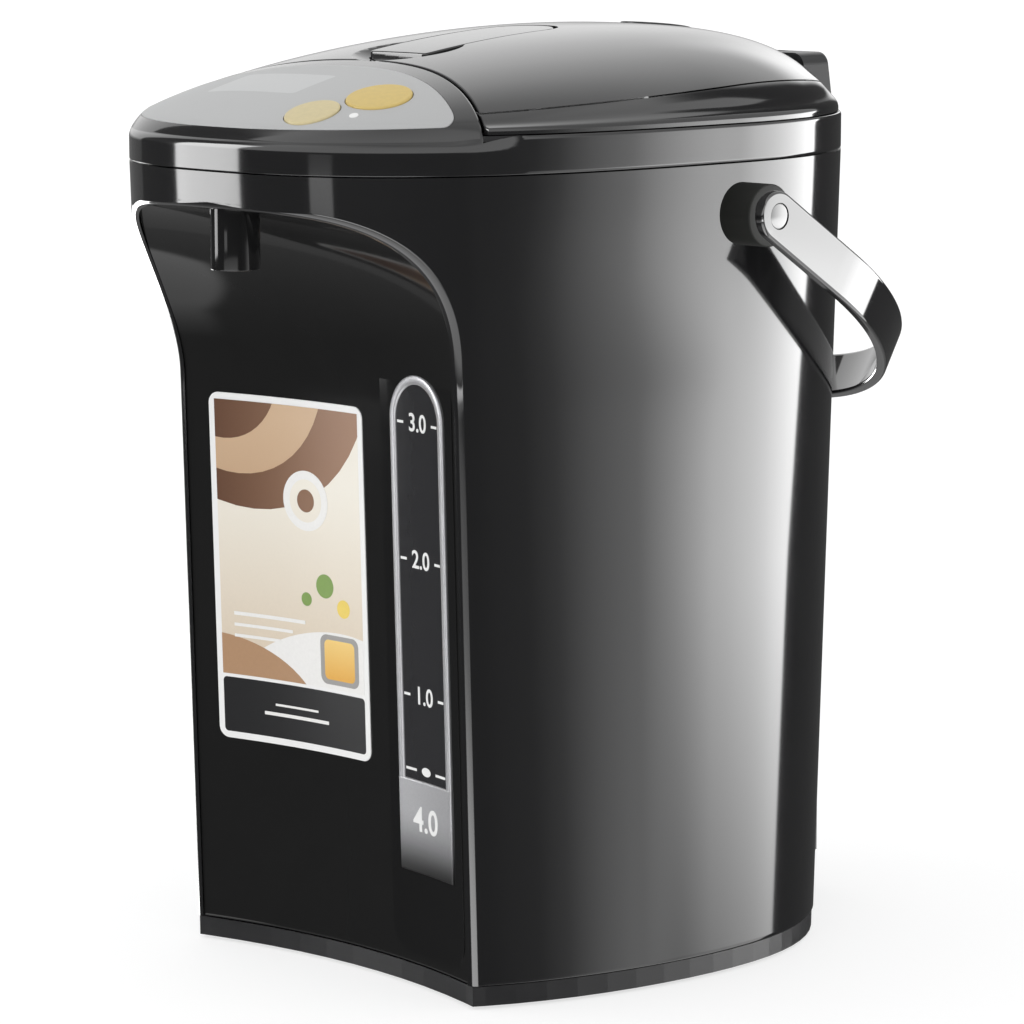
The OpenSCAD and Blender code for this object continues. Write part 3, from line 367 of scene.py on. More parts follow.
# full turn of an (r, z) line about a vertical axis
def spinProfile(points, centre=(0, 0), steps=96):
    bm = bmesh.new()
    ring = [bm.verts.new((r * mm, 0, z * mm)) for r, z in points]
    edges = [bm.edges.new((ring[k], ring[k + 1])) for k in range(len(ring) - 1)]
    bmesh.ops.spin(bm, geom=ring + edges, cent=(0, 0, 0), axis=(0, 0, 1), angle=math.tau, steps=steps,
                   use_merge=True)
    bmesh.ops.remove_doubles(bm, verts=bm.verts, dist=2e-6)
    bmesh.ops.recalc_face_normals(bm, faces=bm.faces)
    bmesh.ops.translate(bm, verts=bm.verts, vec=(centre[0] * mm, centre[1] * mm, 0))
    return bm


# an open (r, z) line with each inner corner rounded
def roundedProfile(corners, radius, steps=4):
    line = [corners[0]]
    for k in range(1, len(corners) - 1):
        a, b, c = (Vector(p) for p in (corners[k - 1], corners[k], corners[k + 1]))
        reach = min(radius, (a - b).length * 0.45, (c - b).length * 0.45)
        start, end = b + (a - b).normalized() * reach, b + (c - b).normalized() * reach
        for n in range(steps + 1):
            t = n / steps
            line.append(tuple((1 - t) ** 2 * start + 2 * t * (1 - t) * b + t * t * end))
    line.append(corners[-1])
    return line


def moved(bm, x, y, z):
    bmesh.ops.translate(bm, verts=bm.verts, vec=(x * mm, y * mm, z * mm))
    return bm


def turned(bm, axis, degrees, centre=(0, 0, 0)):
    bmesh.ops.rotate(bm, verts=bm.verts, cent=Vector(centre) * mm,
                     matrix=Matrix.Rotation(math.radians(degrees), 3, axis))
    return bm


# a box between two corners with all its edges rounded
def boxShape(low, high, radius=0, segments=3):
    bm = bmesh.new()
    bmesh.ops.create_cube(bm, size=1)
    size = [(h - l) * mm for l, h in zip(low, high)]
    middle = [(h + l) / 2 * mm for l, h in zip(low, high)]
    bmesh.ops.scale(bm, verts=bm.verts, vec=size)
    bmesh.ops.translate(bm, verts=bm.verts, vec=middle)
    if radius:
        bmesh.ops.bevel(bm, geom=bm.edges[:], offset=radius * mm, segments=segments, profile=0.5,
                        affect="EDGES", material=-1)
    return bm


# skirtRows holds (height, inset) above the front line's end
sleeve = {"rimRound": 3.6, "halfColumns": 96, "rimColumns": 7, "edgeRows": 56,
          "skirtRows": [(270.8, 0), (272, 0), (274, 0), (276.5, 0), (278.5, 0), (279.6, 0), (279.94, 0.02),
                        (280, 0.1)]}


def coveEnd():
    low, high = 0.5, math.pi / 2
    for n in range(60):
        mid = (low + high) / 2
        y, z = covePoint(mid)
        if -y < noseAt(z):
            low = mid
        else:
            high = mid
    return low


coveLast = coveEnd()


# points (y, z, slope along y, slope along z) of the front line, evenly spaced along the sleeve's edge
def frontEdge():
    fine = []
    for k in range(1501):
        t = coveLast * (1 - (1 - k / 1500) ** 4)
        y, z = covePoint(t)
        fine.append((planSide(y, z), y, z))
    fine[-1] = (0.0, fine[-1][1], fine[-1][2])
    lengths = [0]
    for a, b in zip(fine, fine[1:]):
        lengths.append(lengths[-1] + math.dist(a, b))
    rows, k = [], 0
    for n in range(sleeve["edgeRows"] + 1):
        want = lengths[-1] * n / sleeve["edgeRows"]
        while k < len(lengths) - 2 and lengths[k + 1] < want:
            k += 1
        share = (want - lengths[k]) / max(lengths[k + 1] - lengths[k], 1e-9)
        rows.append([fine[k][c] + (fine[k + 1][c] - fine[k][c]) * share for c in range(3)])
    rows[-1] = list(fine[-1])
    low = form["sleeveLow"]
    straight = [low, low + 0.12, low + 0.4, low + 1.2, 16, 40, 70, 100, 130, 155, 175, 188, 195]
    full = [[planSide(frontY(z), z), frontY(z), z] for z in straight] + rows
    result = []
    for n, (x, y, z) in enumerate(full):
        before, after = full[max(n - 1, 0)], full[min(n + 1, len(full) - 1)]
        result.append((x, y, z, Vector((0, after[1] - before[1], after[2] - before[2])).normalized()))
    return result


edgeLine = frontEdge()


# from the outer face round the rim's edge to the inner face, at one point of the edge
def rimSection(x, y, z, along):
    angle = planAngle(x, y, z)
    outward = planNormal(angle, z)
    facing = Vector((0, -along.z, along.y))
    edge = Vector((x, y, z))
    cosine = max(min(outward.dot(facing), 0.99), -0.9)
    half = math.acos(cosine) / 2
    radius = min(sleeve["rimRound"], 2.0 / math.tan(half) if half > 0 else 9)
    centre = edge - radius * (outward + facing) / (1 + cosine)
    section = []
    for n in range(sleeve["rimColumns"]):
        t = n / (sleeve["rimColumns"] - 1)
        direction = outward * math.sin((1 - t) * 2 * half) + facing * math.sin(t * 2 * half)
        section.append(centre + radius * direction / math.sin(2 * half))
    inward = -(outward - cosine * facing).normalized()
    section.append(edge + inward * (form["wall"] / math.sin(2 * half)))
    if x < 1e-6:
        for p in section:
            p.x = 0
    for p in section:
        p.x = max(p.x, 0)
    return section


# from near the edge round to the middle of the back
def sweepHalf(start, inset, rowZ, columns):
    z0 = start.z
    a0 = planAngle(start.x, start.y, z0, inset) if start.y < 0 else 0
    points = []
    for n in range(1, columns + 1):
        a = a0 + (math.pi / 2 - a0) * n / columns
        z = rowZ + (z0 - rowZ) * math.exp(-(a - a0) * 9)
        p = planPoint(a, z, inset)
        if n == columns:
            p.x = 0
        points.append(p)
    return points


def sleeveRows():
    rows = []
    cols = sleeve["halfColumns"]
    for k, (x, y, z, along) in enumerate(edgeLine):
        section = rimSection(x, y, z, along)
        outer = sweepHalf(section[0], 0, z, cols)
        inner = sweepHalf(section[-1], form["wall"], z, cols)
        if k < 3:
            shrink = [0.5, 0.15, 0.0][k]
            outer = [planPoint(math.pi / 2, z, shrink) if i == cols - 1 else p - planNormal(
                planAngleAny(p), z) * shrink for i, p in enumerate(outer)]
        rows.append(outer[::-1] + section + inner)
    for z, shrink in sleeve["skirtRows"]:
        nose = Vector((0, -(noseAt(z) - shrink), z))
        inside = Vector((0, -(noseAt(z) - form["wall"]), z))
        outer = [planPoint(-math.pi / 2 + math.pi * n / cols, z, shrink) for n in range(1, cols + 1)]
        inner = [planPoint(-math.pi / 2 + math.pi * n / cols, z, form["wall"]) for n in range(1, cols + 1)]
        outer[-1].x = inner[-1].x = 0
        between = [nose.lerp(inside, n / sleeve["rimColumns"]) for n in range(sleeve["rimColumns"] + 1)]
        rows.append(outer[::-1] + between + inner)
    return rows


# plan angle of a point on the outline, front or back
def planAngleAny(p):
    if p.y >= 0:
        c = (abs(p.x) / form["halfWidth"]) ** (plan["rear"] / 2)
        s = (abs(p.y) / backAt(p.z)) ** (plan["rear"] / 2)
        return math.atan2(s, c)
    return planAngle(p.x, p.y, p.z)


def onFlank(p):
    return p.z > 12 and (planPoint(planAngleAny(p), p.z) - Vector((abs(p.x), p.y, p.z))).length < 0.03


def flankNormal(p):
    a = planAngleAny(p)
    along = planPoint(a + 0.004, p.z) - planPoint(a - 0.004, p.z)
    low = min(p.z, 190)
    up = planPoint(a, low + 0.5) - planPoint(a, low - 0.5)
    n = along.cross(up).normalized()
    if p.x < 0:
        n.x = -n.x
    return n


def buildSleeve():
    rows = sleeveRows()
    half = len(rows[0])

    def place(i, j):
        row = rows[j]
        if i < half:
            return row[i]
        p = row[2 * half - 1 - i]
        return Vector((-p.x, p.y, p.z))

    bm = gridSheet(2 * half - 1, len(rows) - 1, place)
    # the two rims meet under the beak, and the wall between them goes
    membrane = [f for f in bm.faces if all(abs(v.co.x) < 1e-7 and v.co.y < 0 for v in f.verts)]
    bmesh.ops.delete(bm, geom=membrane, context="FACES")
    top = [e for e in bm.edges if e.is_boundary and all(v.co.z > 0.2799 for v in e.verts)]
    bmesh.ops.bridge_loops(bm, edges=top)
    low = [e for e in bm.edges if e.is_boundary]
    bmesh.ops.holes_fill(bm, edges=low, sides=0)
    bmesh.ops.triangulate(bm, faces=[f for f in bm.faces if len(f.verts) > 8])
    bmesh.ops.recalc_face_normals(bm, faces=bm.faces)
    piece = toObject(bm, "outer_sleeve_wall", lacquer)
    polish(piece, [(onFlank, flankNormal)], 40)
    seat(piece, "pot", "outer_sleeve")


buildSleeve()
print("sleeve built")


def buildFrontPanel():
    lines = [(y, z) for x, y, z, along in edgeLine if z > form["sleeveLow"] + 1]
    lines.insert(0, (frontY(form["sleeveLow"] + 0.3), form["sleeveLow"] + 0.3))
    columns = 72
    rows = []
    for y, z in lines:
        x = planSide(y, z, form["panelInset"])
        for n in range(12):
            x = 0.5 * x + 0.5 * planSide(y + bow(min(x, form["panelHalf"])), z, form["panelInset"])
        rows.append((y, z, x))

    def place(i, j):
        y, z, side = rows[j]
        x = side * math.sin((i / columns - 0.5) * math.pi)
        return x, y + bow(x), z

    bm = closedSheet(columns, len(rows) - 1, place)
    facingBack(bm, 1)
    piece = toObject(bm, "front_panel_face", frontBlack)
    thicken(piece)
    softShade(piece, 60)
    seat(piece, "pot", "front_panel")
    return rows


panelRows = buildFrontPanel()


# plate under the beak, inside the skirt, from the cove's end to the nose
def buildCeiling():
    z = panelRows[-1][1]
    columns, rows = 60, 10

    def place(i, j):
        a = -math.pi * i / columns
        p = planPoint(a, z, form["panelInset"])
        back = panelRows[-1][0] + bow(p.x) if abs(p.x) < form["panelHalf"] else p.y
        t = j / rows
        return p.x, p.y + (max(back, p.y) - p.y) * t, z + 0.05

    bm = closedSheet(columns, rows, place)
    facingBack(bm, 2)
    piece = toObject(bm, "beak_ceiling", frontBlack)
    thicken(piece)
    softShade(piece, 60)
    seat(piece, "pot", "front_panel")


buildCeiling()
print("front panel built")


def flatRect(x0, x1, z0, z1, radius=0, topOnly=False, segments=10):
    bm = bmesh.new()
    corners = [bm.verts.new((x * mm, 0, z * mm)) for x, z in ((x0, z0), (x1, z0), (x1, z1), (x0, z1))]
    bm.faces.new(corners)
    if radius:
        chosen = corners[2:] if topOnly else corners
        bmesh.ops.bevel(bm, geom=chosen, offset=radius * mm, segments=segments, profile=0.5,
                        affect="VERTICES", material=-1)
        bmesh.ops.remove_doubles(bm, verts=bm.verts, dist=1e-6)
    return bm


def flatDisc(x, z, radius, segments=48, squash=1.0, tilt=0):
    bm = bmesh.new()
    bmesh.ops.create_circle(bm, cap_ends=True, segments=segments, radius=radius * mm)
    bmesh.ops.scale(bm, verts=bm.verts, vec=(1, squash, 1))
    turned(bm, "Z", tilt)
    turned(bm, "X", 90)
    bmesh.ops.translate(bm, verts=bm.verts, vec=(x * mm, 0, z * mm))
    return bm


def trimTo(bm, x0, x1, z0, z1):
    for at, way in (((x0, 0, 0), (-1, 0, 0)), ((x1, 0, 0), (1, 0, 0)),
                    ((0, 0, z0), (0, 0, -1)), ((0, 0, z1), (0, 0, 1))):
        bmesh.ops.bisect_plane(bm, geom=bm.verts[:] + bm.edges[:] + bm.faces[:], plane_co=Vector(at) * mm,
                               plane_no=way, clear_outer=True, dist=1e-7)
    return bm


# cuts a flat shape into strips, gives it thickness and lays it on the bowed face; depth is how far its
# face stands proud
def bentPlate(bm, name, finish, depth, thick, roundEdge=0, step=3.0):
    for f in bm.faces:
        if f.normal.y > 0:
            f.normal_flip()
    xs = [v.co.x / mm for v in bm.verts]
    x = (math.floor(min(xs) / step) + 1) * step
    while x < max(xs) - 0.3:
        if x > min(xs) + 0.3:
            bmesh.ops.bisect_plane(bm, geom=bm.verts[:] + bm.edges[:] + bm.faces[:], plane_co=(x * mm, 0, 0),
                                   plane_no=(1, 0, 0), dist=1e-7)
        x += step
    made = bmesh.ops.extrude_face_region(bm, geom=bm.faces[:], use_keep_orig=True)
    behind = [g for g in made["geom"] if isinstance(g, bmesh.types.BMVert)]
    bmesh.ops.translate(bm, verts=behind, vec=(0, thick * mm, 0))
    bmesh.ops.recalc_face_normals(bm, faces=bm.faces)
    if roundEdge:
        rim = [e for e in bm.edges if len(e.link_faces) == 2 and all(abs(v.co.y) < 1e-7 for v in e.verts)
               and min(f.normal.y for f in e.link_faces) < -0.9 < max(f.normal.y for f in e.link_faces)]
        bmesh.ops.bevel(bm, geom=rim, offset=roundEdge * mm, segments=3, profile=0.5, affect="EDGES",
                        material=-1, clamp_overlap=True)
    for v in bm.verts:
        x, z = v.co.x / mm, v.co.z / mm
        v.co.y += (frontY(z) + bow(x) - depth) * mm
    piece = toObject(bm, name, finish)
    softShade(piece, 38, weighted=True)
    return piece


gauge = {"middle": 44.0, "width": 31.0, "low": 41.0, "top": 212.0, "fadeTop": 64.0, "windowLow": 73.2,
         "windowHalf": 12.5, "windowRound": 12.4, "strip": (23, 65, 12.2, 218), "stripRound": 9}


def buildGaugeStrip():
    strip = flatRect(*gauge["strip"], gauge["stripRound"])
    seat(bentPlate(strip, "gauge_strip_plate", glossPlastic, 0.3, 1.2, 0.3), "pot", "gauge_strip")


# silver at the top that fades to black at the foot
def gaugeFinish():
    mat = makeFinish("fading silver", (0.5, 0.5, 0.515), 0.33, metallic=0.55, grain=1500, tint=0.1)
    fade = fadeInto(mat, "Z", gauge["low"], gauge["fadeTop"], (0.012, 0.012, 0.012), True, smooth=True)
    nodes, links = mat.node_tree.nodes, mat.node_tree.links
    shine = nodes.new("ShaderNodeMath")
    shine.operation = "MULTIPLY"
    shine.inputs[1].default_value = 0.55
    links.new(fade, shine.inputs[0])
    links.new(shine.outputs["Value"], nodes["Principled BSDF"].inputs["Metallic"])
    return mat


# arched ring: its outline and its window as two loops of the same count, bridged
def buildGaugeFrame():
    half = gauge["width"] / 2
    archZ = gauge["top"] - half
    rows = [(0, -0.2), (0, 0.35), (0.12, 0.72), (0.4, 0.95), (0.8, 1.05), (1.6, 1.1), (2.4, 1.05),
            (2.8, 0.95), (3.08, 0.72), (3.2, 0.35), (3.2, -0.6)]
    sides = 34

    def outline(n, grow):
        # right foot up, over the arch, down to the left foot
        if n < sides:
            z = gauge["windowLow"] + (archZ - gauge["windowLow"]) * n / sides
            return gauge["middle"] + half - grow, z
        if n <= sides + 60:
            a = math.pi * (n - sides) / 60
            return gauge["middle"] + (half - grow) * math.cos(a), archZ + (half - grow) * math.sin(a)
        z = archZ - (archZ - gauge["windowLow"]) * (n - sides - 60) / sides
        return gauge["middle"] - half + grow, z

    def place(i, j):
        grow, lift = rows[j]
        x, z = outline(i, grow)
        return x, frontY(z) + bow(x) - lift, z

    bm = closedSheet(2 * sides + 60, len(rows) - 1, place)
    facingBack(bm, 1)
    piece = toObject(bm, "gauge_frame_arch", silverPaint)
    softShade(piece, 60)
    seat(piece, "pot", "gauge_frame")
    foot = flatRect(gauge["middle"] - half, gauge["middle"] + half, gauge["low"], gauge["windowLow"] + 0.2)
    foot = bentPlate(foot, "gauge_frame_foot", gaugeFinish(), 1.05, 1.3, 0.5)
    seat(foot, "pot", "gauge_frame")


def buildGaugeWindow():
    middle, half = gauge["middle"], gauge["windowHalf"]
    low, high = gauge["windowLow"] - 0.4, gauge["top"] - 3
    pane = flatRect(middle - half, middle + half, low, high, gauge["windowRound"], True, 20)
    seat(bentPlate(pane, "gauge_window_pane", smokedWindow, 0.36, 0.5), "pot", "gauge_window")


def gaugeText(words, x, z, size, finish, name, lift=0.42, weight=0.0):
    curve = bpy.data.curves.new(name, "FONT")
    curve.body = words
    curve.size = size * mm
    curve.align_x = "CENTER"
    curve.align_y = "CENTER"
    curve.extrude = 0.06 * mm
    curve.offset = weight * mm
    words3d = bpy.data.objects.new(name, curve)
    bpy.context.scene.collection.objects.link(words3d)
    bpy.context.view_layer.update()
    mesh = bpy.data.meshes.new_from_object(words3d.evaluated_get(bpy.context.evaluated_depsgraph_get()))
    bpy.data.objects.remove(words3d)
    bm = bmesh.new()
    bm.from_mesh(mesh)
    turned(bm, "X", 90)
    for v in bm.verts:
        px, pz = v.co.x / mm + x, v.co.z / mm + z
        v.co = Vector((px, v.co.y / mm + frontY(pz) + bow(px) - lift, pz)) * mm
    return toObject(bm, name, finish)


figures = {"3.0": 195.6, "2.0": 149.2, "1.0": 102.6}
marks = {"figureSize": 8.6, "dashOut": 9.9, "dashHalf": 1.7, "dashHigh": 0.45, "lowAt": 76.4, "lowOut": 8.6,
         "lowHalf": 3.0, "lowHigh": 0.9, "proud": 0.44, "capacitySize": 12.0, "capacityAt": 59.7}


def buildDash(x, half, low, high, name):
    dash = bentPlate(flatRect(x - half, x + half, low, high), name, printWhite, marks["proud"], 0.1)
    seat(dash, "pot", "gauge_window")


def buildMarks():
    middle = gauge["middle"]
    for words, z in figures.items():
        label = words.replace(".", "_")
        name = "gauge_figure_" + label
        figure = gaugeText(words, middle, z, marks["figureSize"], printWhite, name, weight=0.12)
        seat(figure, "pot", "gauge_window")
        high = marks["dashHigh"]
        for side in (-1, 1):
            buildDash(middle + side * marks["dashOut"], marks["dashHalf"], z - high, z + high,
                      "gauge_dash_%s_%s" % (label, "lr"[side > 0]))
    low = marks["lowAt"]
    for side in (-1, 1):
        buildDash(middle + side * marks["lowOut"], marks["lowHalf"], low, low + marks["lowHigh"],
                  "gauge_low_dash_%s" % "lr"[side > 0])
    dot = flatDisc(middle, low + 0.5, 2.6, 24, 0.6)
    seat(bentPlate(dot, "gauge_low_mark", printWhite, marks["proud"], 0.1), "pot", "gauge_window")
    capacity = gaugeText("4.0", middle, marks["capacityAt"], marks["capacitySize"], printWhite,
                         "gauge_figure_4_0", 1.15, 0.2)
    seat(capacity, "pot", "gauge_frame")


buildGaugeStrip()
buildGaugeFrame()
buildGaugeWindow()
buildMarks()
print("gauge built")


def printInk(name, color, second=None, low=0, high=1, axis="Z", rough=0.3):
    mat = makeFinish(name, color, rough, tint=0.05, grain=900)
    if second:
        fadeInto(mat, axis, low, high, second, False)
    return mat


labelBox = {"left": -58.0, "right": 13.0, "low": 75.0, "high": 198.0, "border": 2.4, "stripTop": 97.0}


def buildLabel():
    left, right = labelBox["left"], labelBox["right"]
    low, high, border = labelBox["low"], labelBox["high"], labelBox["border"]
    plate = bentPlate(flatRect(left, right, low, high, 4), "label_plate_film", printWhite, 0.5, 0.4, 0.15)
    seat(plate, "pot", "label_plate")
    inner = (left + border, right - border, labelBox["stripTop"] + 1.2, high - border)
    cream = printInk("print cream", (0.66, 0.55, 0.42), (0.83, 0.79, 0.7), 100, 168, "Z")
    brown = printInk("print brown", (0.12, 0.055, 0.03), (0.3, 0.16, 0.09), -56, 10, "X")
    tan = printInk("print tan", (0.42, 0.25, 0.14), (0.6, 0.42, 0.27), 130, 190, "Z")
    white = printInk("print white", (0.82, 0.81, 0.79))
    green = printInk("print green", (0.2, 0.32, 0.08))
    yellow = printInk("print yellow", (0.8, 0.6, 0.12))
    amber = printInk("print amber", (0.72, 0.36, 0.05), (0.85, 0.6, 0.2), 100, 116, "Z")
    grey = printInk("print grey", (0.33, 0.32, 0.31))
    black = printInk("print black", (0.012, 0.012, 0.013))

    patches = [
        ("ground", flatRect(inner[0], inner[1], inner[2], inner[3], 1.5), cream, 0.53),
        ("top_band", trimTo(flatDisc(-40, 216, 58), *inner), brown, 0.56),
        ("top_ring", trimTo(flatDisc(-46, 210, 40), *inner), tan, 0.59),
        ("top_core", trimTo(flatDisc(-52, 206, 24), *inner), brown, 0.62),
        ("low_wave", trimTo(flatDisc(-8, 88, 48, 64, 0.62, 8), *inner), white, 0.56),
        ("low_wave_two", trimTo(flatDisc(-52, 92, 40, 64, 0.5, -10), *inner), tan, 0.59),
        ("dot_green", flatDisc(-8, 134, 4.2), green, 0.59),
        ("dot_yellow", flatDisc(1, 127, 3.2), yellow, 0.59),
        ("dot_green_two", flatDisc(-17, 128.5, 2.4), green, 0.59),
        ("square_amber", flatRect(-9, 6, 101.5, 115.5, 2), amber, 0.65),
        ("square_rim", flatRect(-11, 8, 99.8, 117.2, 3), grey, 0.62),
        ("strip", flatRect(inner[0], inner[1], low + border, labelBox["stripTop"], 1.5), black, 0.53),
        ("strip_bar", flatRect(-38, -8, 85.2, 86.4), white, 0.56),
        ("strip_bar_two", flatRect(-33, -13, 88.8, 89.6), white, 0.56),
        ("bar_one", flatRect(-50, -18, 119.5, 120.8), white, 0.65),
        ("bar_two", flatRect(-50, -24, 115.6, 116.7), white, 0.65),
        ("bar_three", flatRect(-50, -30, 111.7, 112.8), white, 0.65),
        ("disc_white", flatDisc(-16, 163, 10.5), white, 0.62),
        ("disc_cream", flatDisc(-16, 163, 7.5), cream, 0.65),
        ("disc_core", flatDisc(-16, 163, 4), brown, 0.68),
    ]
    for name, bm, ink, lift in patches:
        seat(bentPlate(bm, "label_" + name, ink, lift, 0.12), "pot", "label_plate")


buildLabel()
print("label built")


# rough distance to the plan outline
def edgeDistance(x, y, inset):
    w = form["halfWidth"] - inset
    if y >= 0:
        reach, powers = form["backReach"] - inset, (plan["rear"], plan["rear"])
    else:
        reach, powers = form["beakReach"] - inset, plan["high"]
    u, v = abs(x) / w, abs(y) / reach
    value = u ** powers[0] + v ** powers[1]
    slope = math.hypot(powers[0] * u ** (powers[0] - 1) / w, powers[1] * v ** (powers[1] - 1) / reach)
    return (1 - value) / max(slope, 1e-6)


# the deck's edge rolls down towards the band round the nose, and its foot steps down with it
deck = {"noseFrom": -92, "noseOver": 25, "roll": 3.6, "rollReach": 7, "foot": 291.9, "footDrop": 3.7,
        "round": 1.1, "recess": 1.4, "centre": (0, -116), "stemLow": 295.7}


# 0 at the sides, 1 round the nose
def frontShare(y):
    return easeStep((deck["noseFrom"] - y) / deck["noseOver"])


def deckZ(x, y):
    near = max(1 - max(edgeDistance(x, y, 0), 0) / deck["rollReach"], 0)
    return crownZ(x, y) - deck["roll"] * frontShare(y) * near ** 2


def deckNormal(p):
    d = 0.05
    dx = (deckZ(p.x + d, p.y) - deckZ(p.x - d, p.y)) / (2 * d)
    dy = (deckZ(p.x, p.y + d) - deckZ(p.x, p.y - d)) / (2 * d)
    return Vector((-dx, -dy, 1)).normalized()


def onDeck(lift):
    return lambda p: p.z > 288.8 and p.y < -60 and abs(p.z - deckZ(p.x, p.y) - lift) < 0.02


def onShoulderWall(p):
    return p.z > 280.6 and p.y < deck["noseFrom"] and edgeDistance(p.x, p.y, 0) < 1.3


def shoulderNormal(p):
    d = 0.05
    dx = (edgeDistance(p.x + d, p.y, 0) - edgeDistance(p.x - d, p.y, 0)) / (2 * d)
    dy = (edgeDistance(p.x, p.y + d, 0) - edgeDistance(p.x, p.y - d, 0)) / (2 * d)
    lift = math.radians(60) * frontShare(p.y) * easeStep((p.z - 287.5) / 3.8)
    return Vector((-dx, -dy, 0)).normalized() * math.cos(lift) + Vector((0, 0, math.sin(lift)))


# closed ring on the shoulder's plan; profile holds (z, inset)
def ringStack(profile, columns=288):
    def place(i, j):
        z, inset = profile[j % len(profile)]
        p = planPoint(math.tau * (i % columns) / columns, form["seamHeight"], inset)
        return p.x, p.y, z - 0.6 * frontShare(p.y) * max(z - 286.5, 0)

    return closedSheet(columns, len(profile), place)


def buildBand():
    profile = [(280.3, 0.5), (280.38, 0.2), (280.7, 0.02), (281.4, 0), (284, 0), (286.3, 0), (287.4, 0),
               (288.6, 0), (290, 0), (291.6, 0), (292.3, 0.05), (292.7, 0.2), (292.93, 0.5), (293, 0.9),
               (293, 2.4), (292, 2.6), (281, 2.6), (280.3, 2.2)]
    piece = toObject(ringStack(profile), "shoulder_band", lacquer)
    polish(piece, [(onShoulderWall, shoulderNormal)], 75)
    seat(piece, "pot", "top_frame")


def buildRimPlate():
    columns = 144
    cuts = [(80.9, 293), (80.25, 292.8), (80, 292.3), (80, 268.05), (68, 268.05), (68, 266.6), (82, 266.6),
            (82, 290.8), (84, 291.2)]

    def place(i, j):
        a = math.tau * (i % columns) / columns
        if j == 0 or j == len(cuts) + 1 or j == len(cuts) + 2:
            low, high = 60.0, 200.0
            for n in range(40):
                mid = (low + high) / 2
                x, y = mid * math.cos(a), form["tankY"] + mid * math.sin(a)
                inside = abs(x) < planSide(y, 280, 1.2 + 7 * frontShare(y + 12)) and -143 < y < 109.8
                low, high = (mid, high) if inside else (low, mid)
            z = 293 if j != len(cuts) + 1 else 291.2
            return low * math.cos(a), form["tankY"] + low * math.sin(a), z
        r, z = cuts[j - 1]
        return r * math.cos(a), form["tankY"] + r * math.sin(a), z

    bm = closedSheet(columns, len(cuts) + 2, place)
    piece = toObject(bm, "rim_plate_well", satinBlack)
    softShade(piece, 40)
    seat(piece, "pot", "top_frame")


buildBand()
buildRimPlate()
print("shoulder built")


def smoothMin(a, b, k):
    h = max(min(0.5 + 0.5 * (b - a) / k, 1), 0)
    return b + (a - b) * h - k * h * (1 - h)


def rayToPlan(cx, cy, dx, dy, inset):
    low, high = 0.0, 400.0
    for n in range(46):
        mid = (low + high) / 2
        x, y = cx + dx * mid, cy + dy * mid
        reach = (form["backReach"] if y >= 0 else form["beakReach"]) - inset
        inside = abs(y) < reach and abs(x) < planSide(y, 300, inset)
        low, high = (mid, high) if inside else (low, mid)
    return low


# (near, far) hits of a ray with a circle, or None
def rayToDisc(cx, cy, dx, dy, x0, y0, radius):
    ox, oy = cx - x0, cy - y0
    b = ox * dx + oy * dy
    c = ox * ox + oy * oy - radius * radius
    under = b * b - c
    return None if under < 0 else (-b - math.sqrt(under), -b + math.sqrt(under))


# evenly spaced points of a star-shaped outline, anticlockwise, with their outward normals
def outlineFrom(centre, reachAt, count):
    fine = []
    for k in range(2880):
        a = math.tau * k / 2880
        r = reachAt(math.cos(a), math.sin(a))
        fine.append((centre[0] + r * math.cos(a), centre[1] + r * math.sin(a)))
    lengths = [0]
    for k in range(len(fine)):
        lengths.append(lengths[-1] + math.dist(fine[k], fine[(k + 1) % len(fine)]))
    points, k = [], 0
    for n in range(count):
        want = lengths[-1] * n / count
        while lengths[k + 1] < want:
            k += 1
        share = (want - lengths[k]) / (lengths[k + 1] - lengths[k])
        a, b = fine[k], fine[(k + 1) % len(fine)]
        points.append((a[0] + (b[0] - a[0]) * share, a[1] + (b[1] - a[1]) * share))
    result = []
    for n in range(count):
        a, b = points[n - 1], points[(n + 1) % count]
        length = math.dist(a, b)
        result.append((points[n][0], points[n][1], (b[1] - a[1]) / length, -(b[0] - a[0]) / length))
    return result


# closed plate whose top follows the crown: bottom pole, bottom edge, wall, round edge, top pole
def crownPlate(outline, centre, lift, thick, roundEdge, inset=0, innerRows=24, spread=1.6, heightAt=None):
    count = len(outline)
    height = heightAt or (lambda x, y: crownZ(x, y, inset))
    arcs = [(roundEdge * (1 - math.cos(t)), roundEdge * (1 - math.sin(t))) for t in
            [math.pi / 2 * n / 4 for n in range(5)]]
    fractions = [(n / innerRows) ** spread for n in range(1, innerRows + 1)]
    rows = [("low", 1.0), ("low", 0.5), ("low", 0.0)]
    rows += [("arc", d, s) for d, s in arcs] + [("top", q) for q in fractions]

    def place(i, j):
        x, y, nx, ny = outline[i % count]
        row = rows[j]
        if row[0] == "low":
            px, py = x + (centre[0] - x) * row[1], y + (centre[1] - y) * row[1]
            return px, py, height(px, py) + lift - thick
        if row[0] == "arc":
            px, py = x - nx * row[1], y - ny * row[1]
            return px, py, height(px, py) + lift - row[2]
        sx, sy = x - nx * roundEdge, y - ny * roundEdge
        px, py = sx + (centre[0] - sx) * row[1], sy + (centre[1] - sy) * row[1]
        return px, py, height(px, py) + lift

    return closedSheet(count, len(rows) - 1, place)


def onCrown(lift, inset=0, tolerance=0.02):
    def lies(p):
        return p.z > 293.5 and abs(p.z - crownZ(p.x, p.y, inset) - lift) < tolerance

    return lies, lambda p: crownNormal(p.x, p.y, inset)


def drumShape(x, y, radius, low, high, segments=96):
    bm = bmesh.new()
    bmesh.ops.create_cone(bm, cap_ends=True, segments=segments, radius1=radius * mm, radius2=radius * mm,
                          depth=(high - low) * mm)
    moved(bm, x, y, (low + high) / 2)
    return bm


# a plain upright cutter
def drum(x, y, radius, low, high, segments=96):
    return toObject(drumShape(x, y, radius, low, high, segments), "cutter", mattBlack)


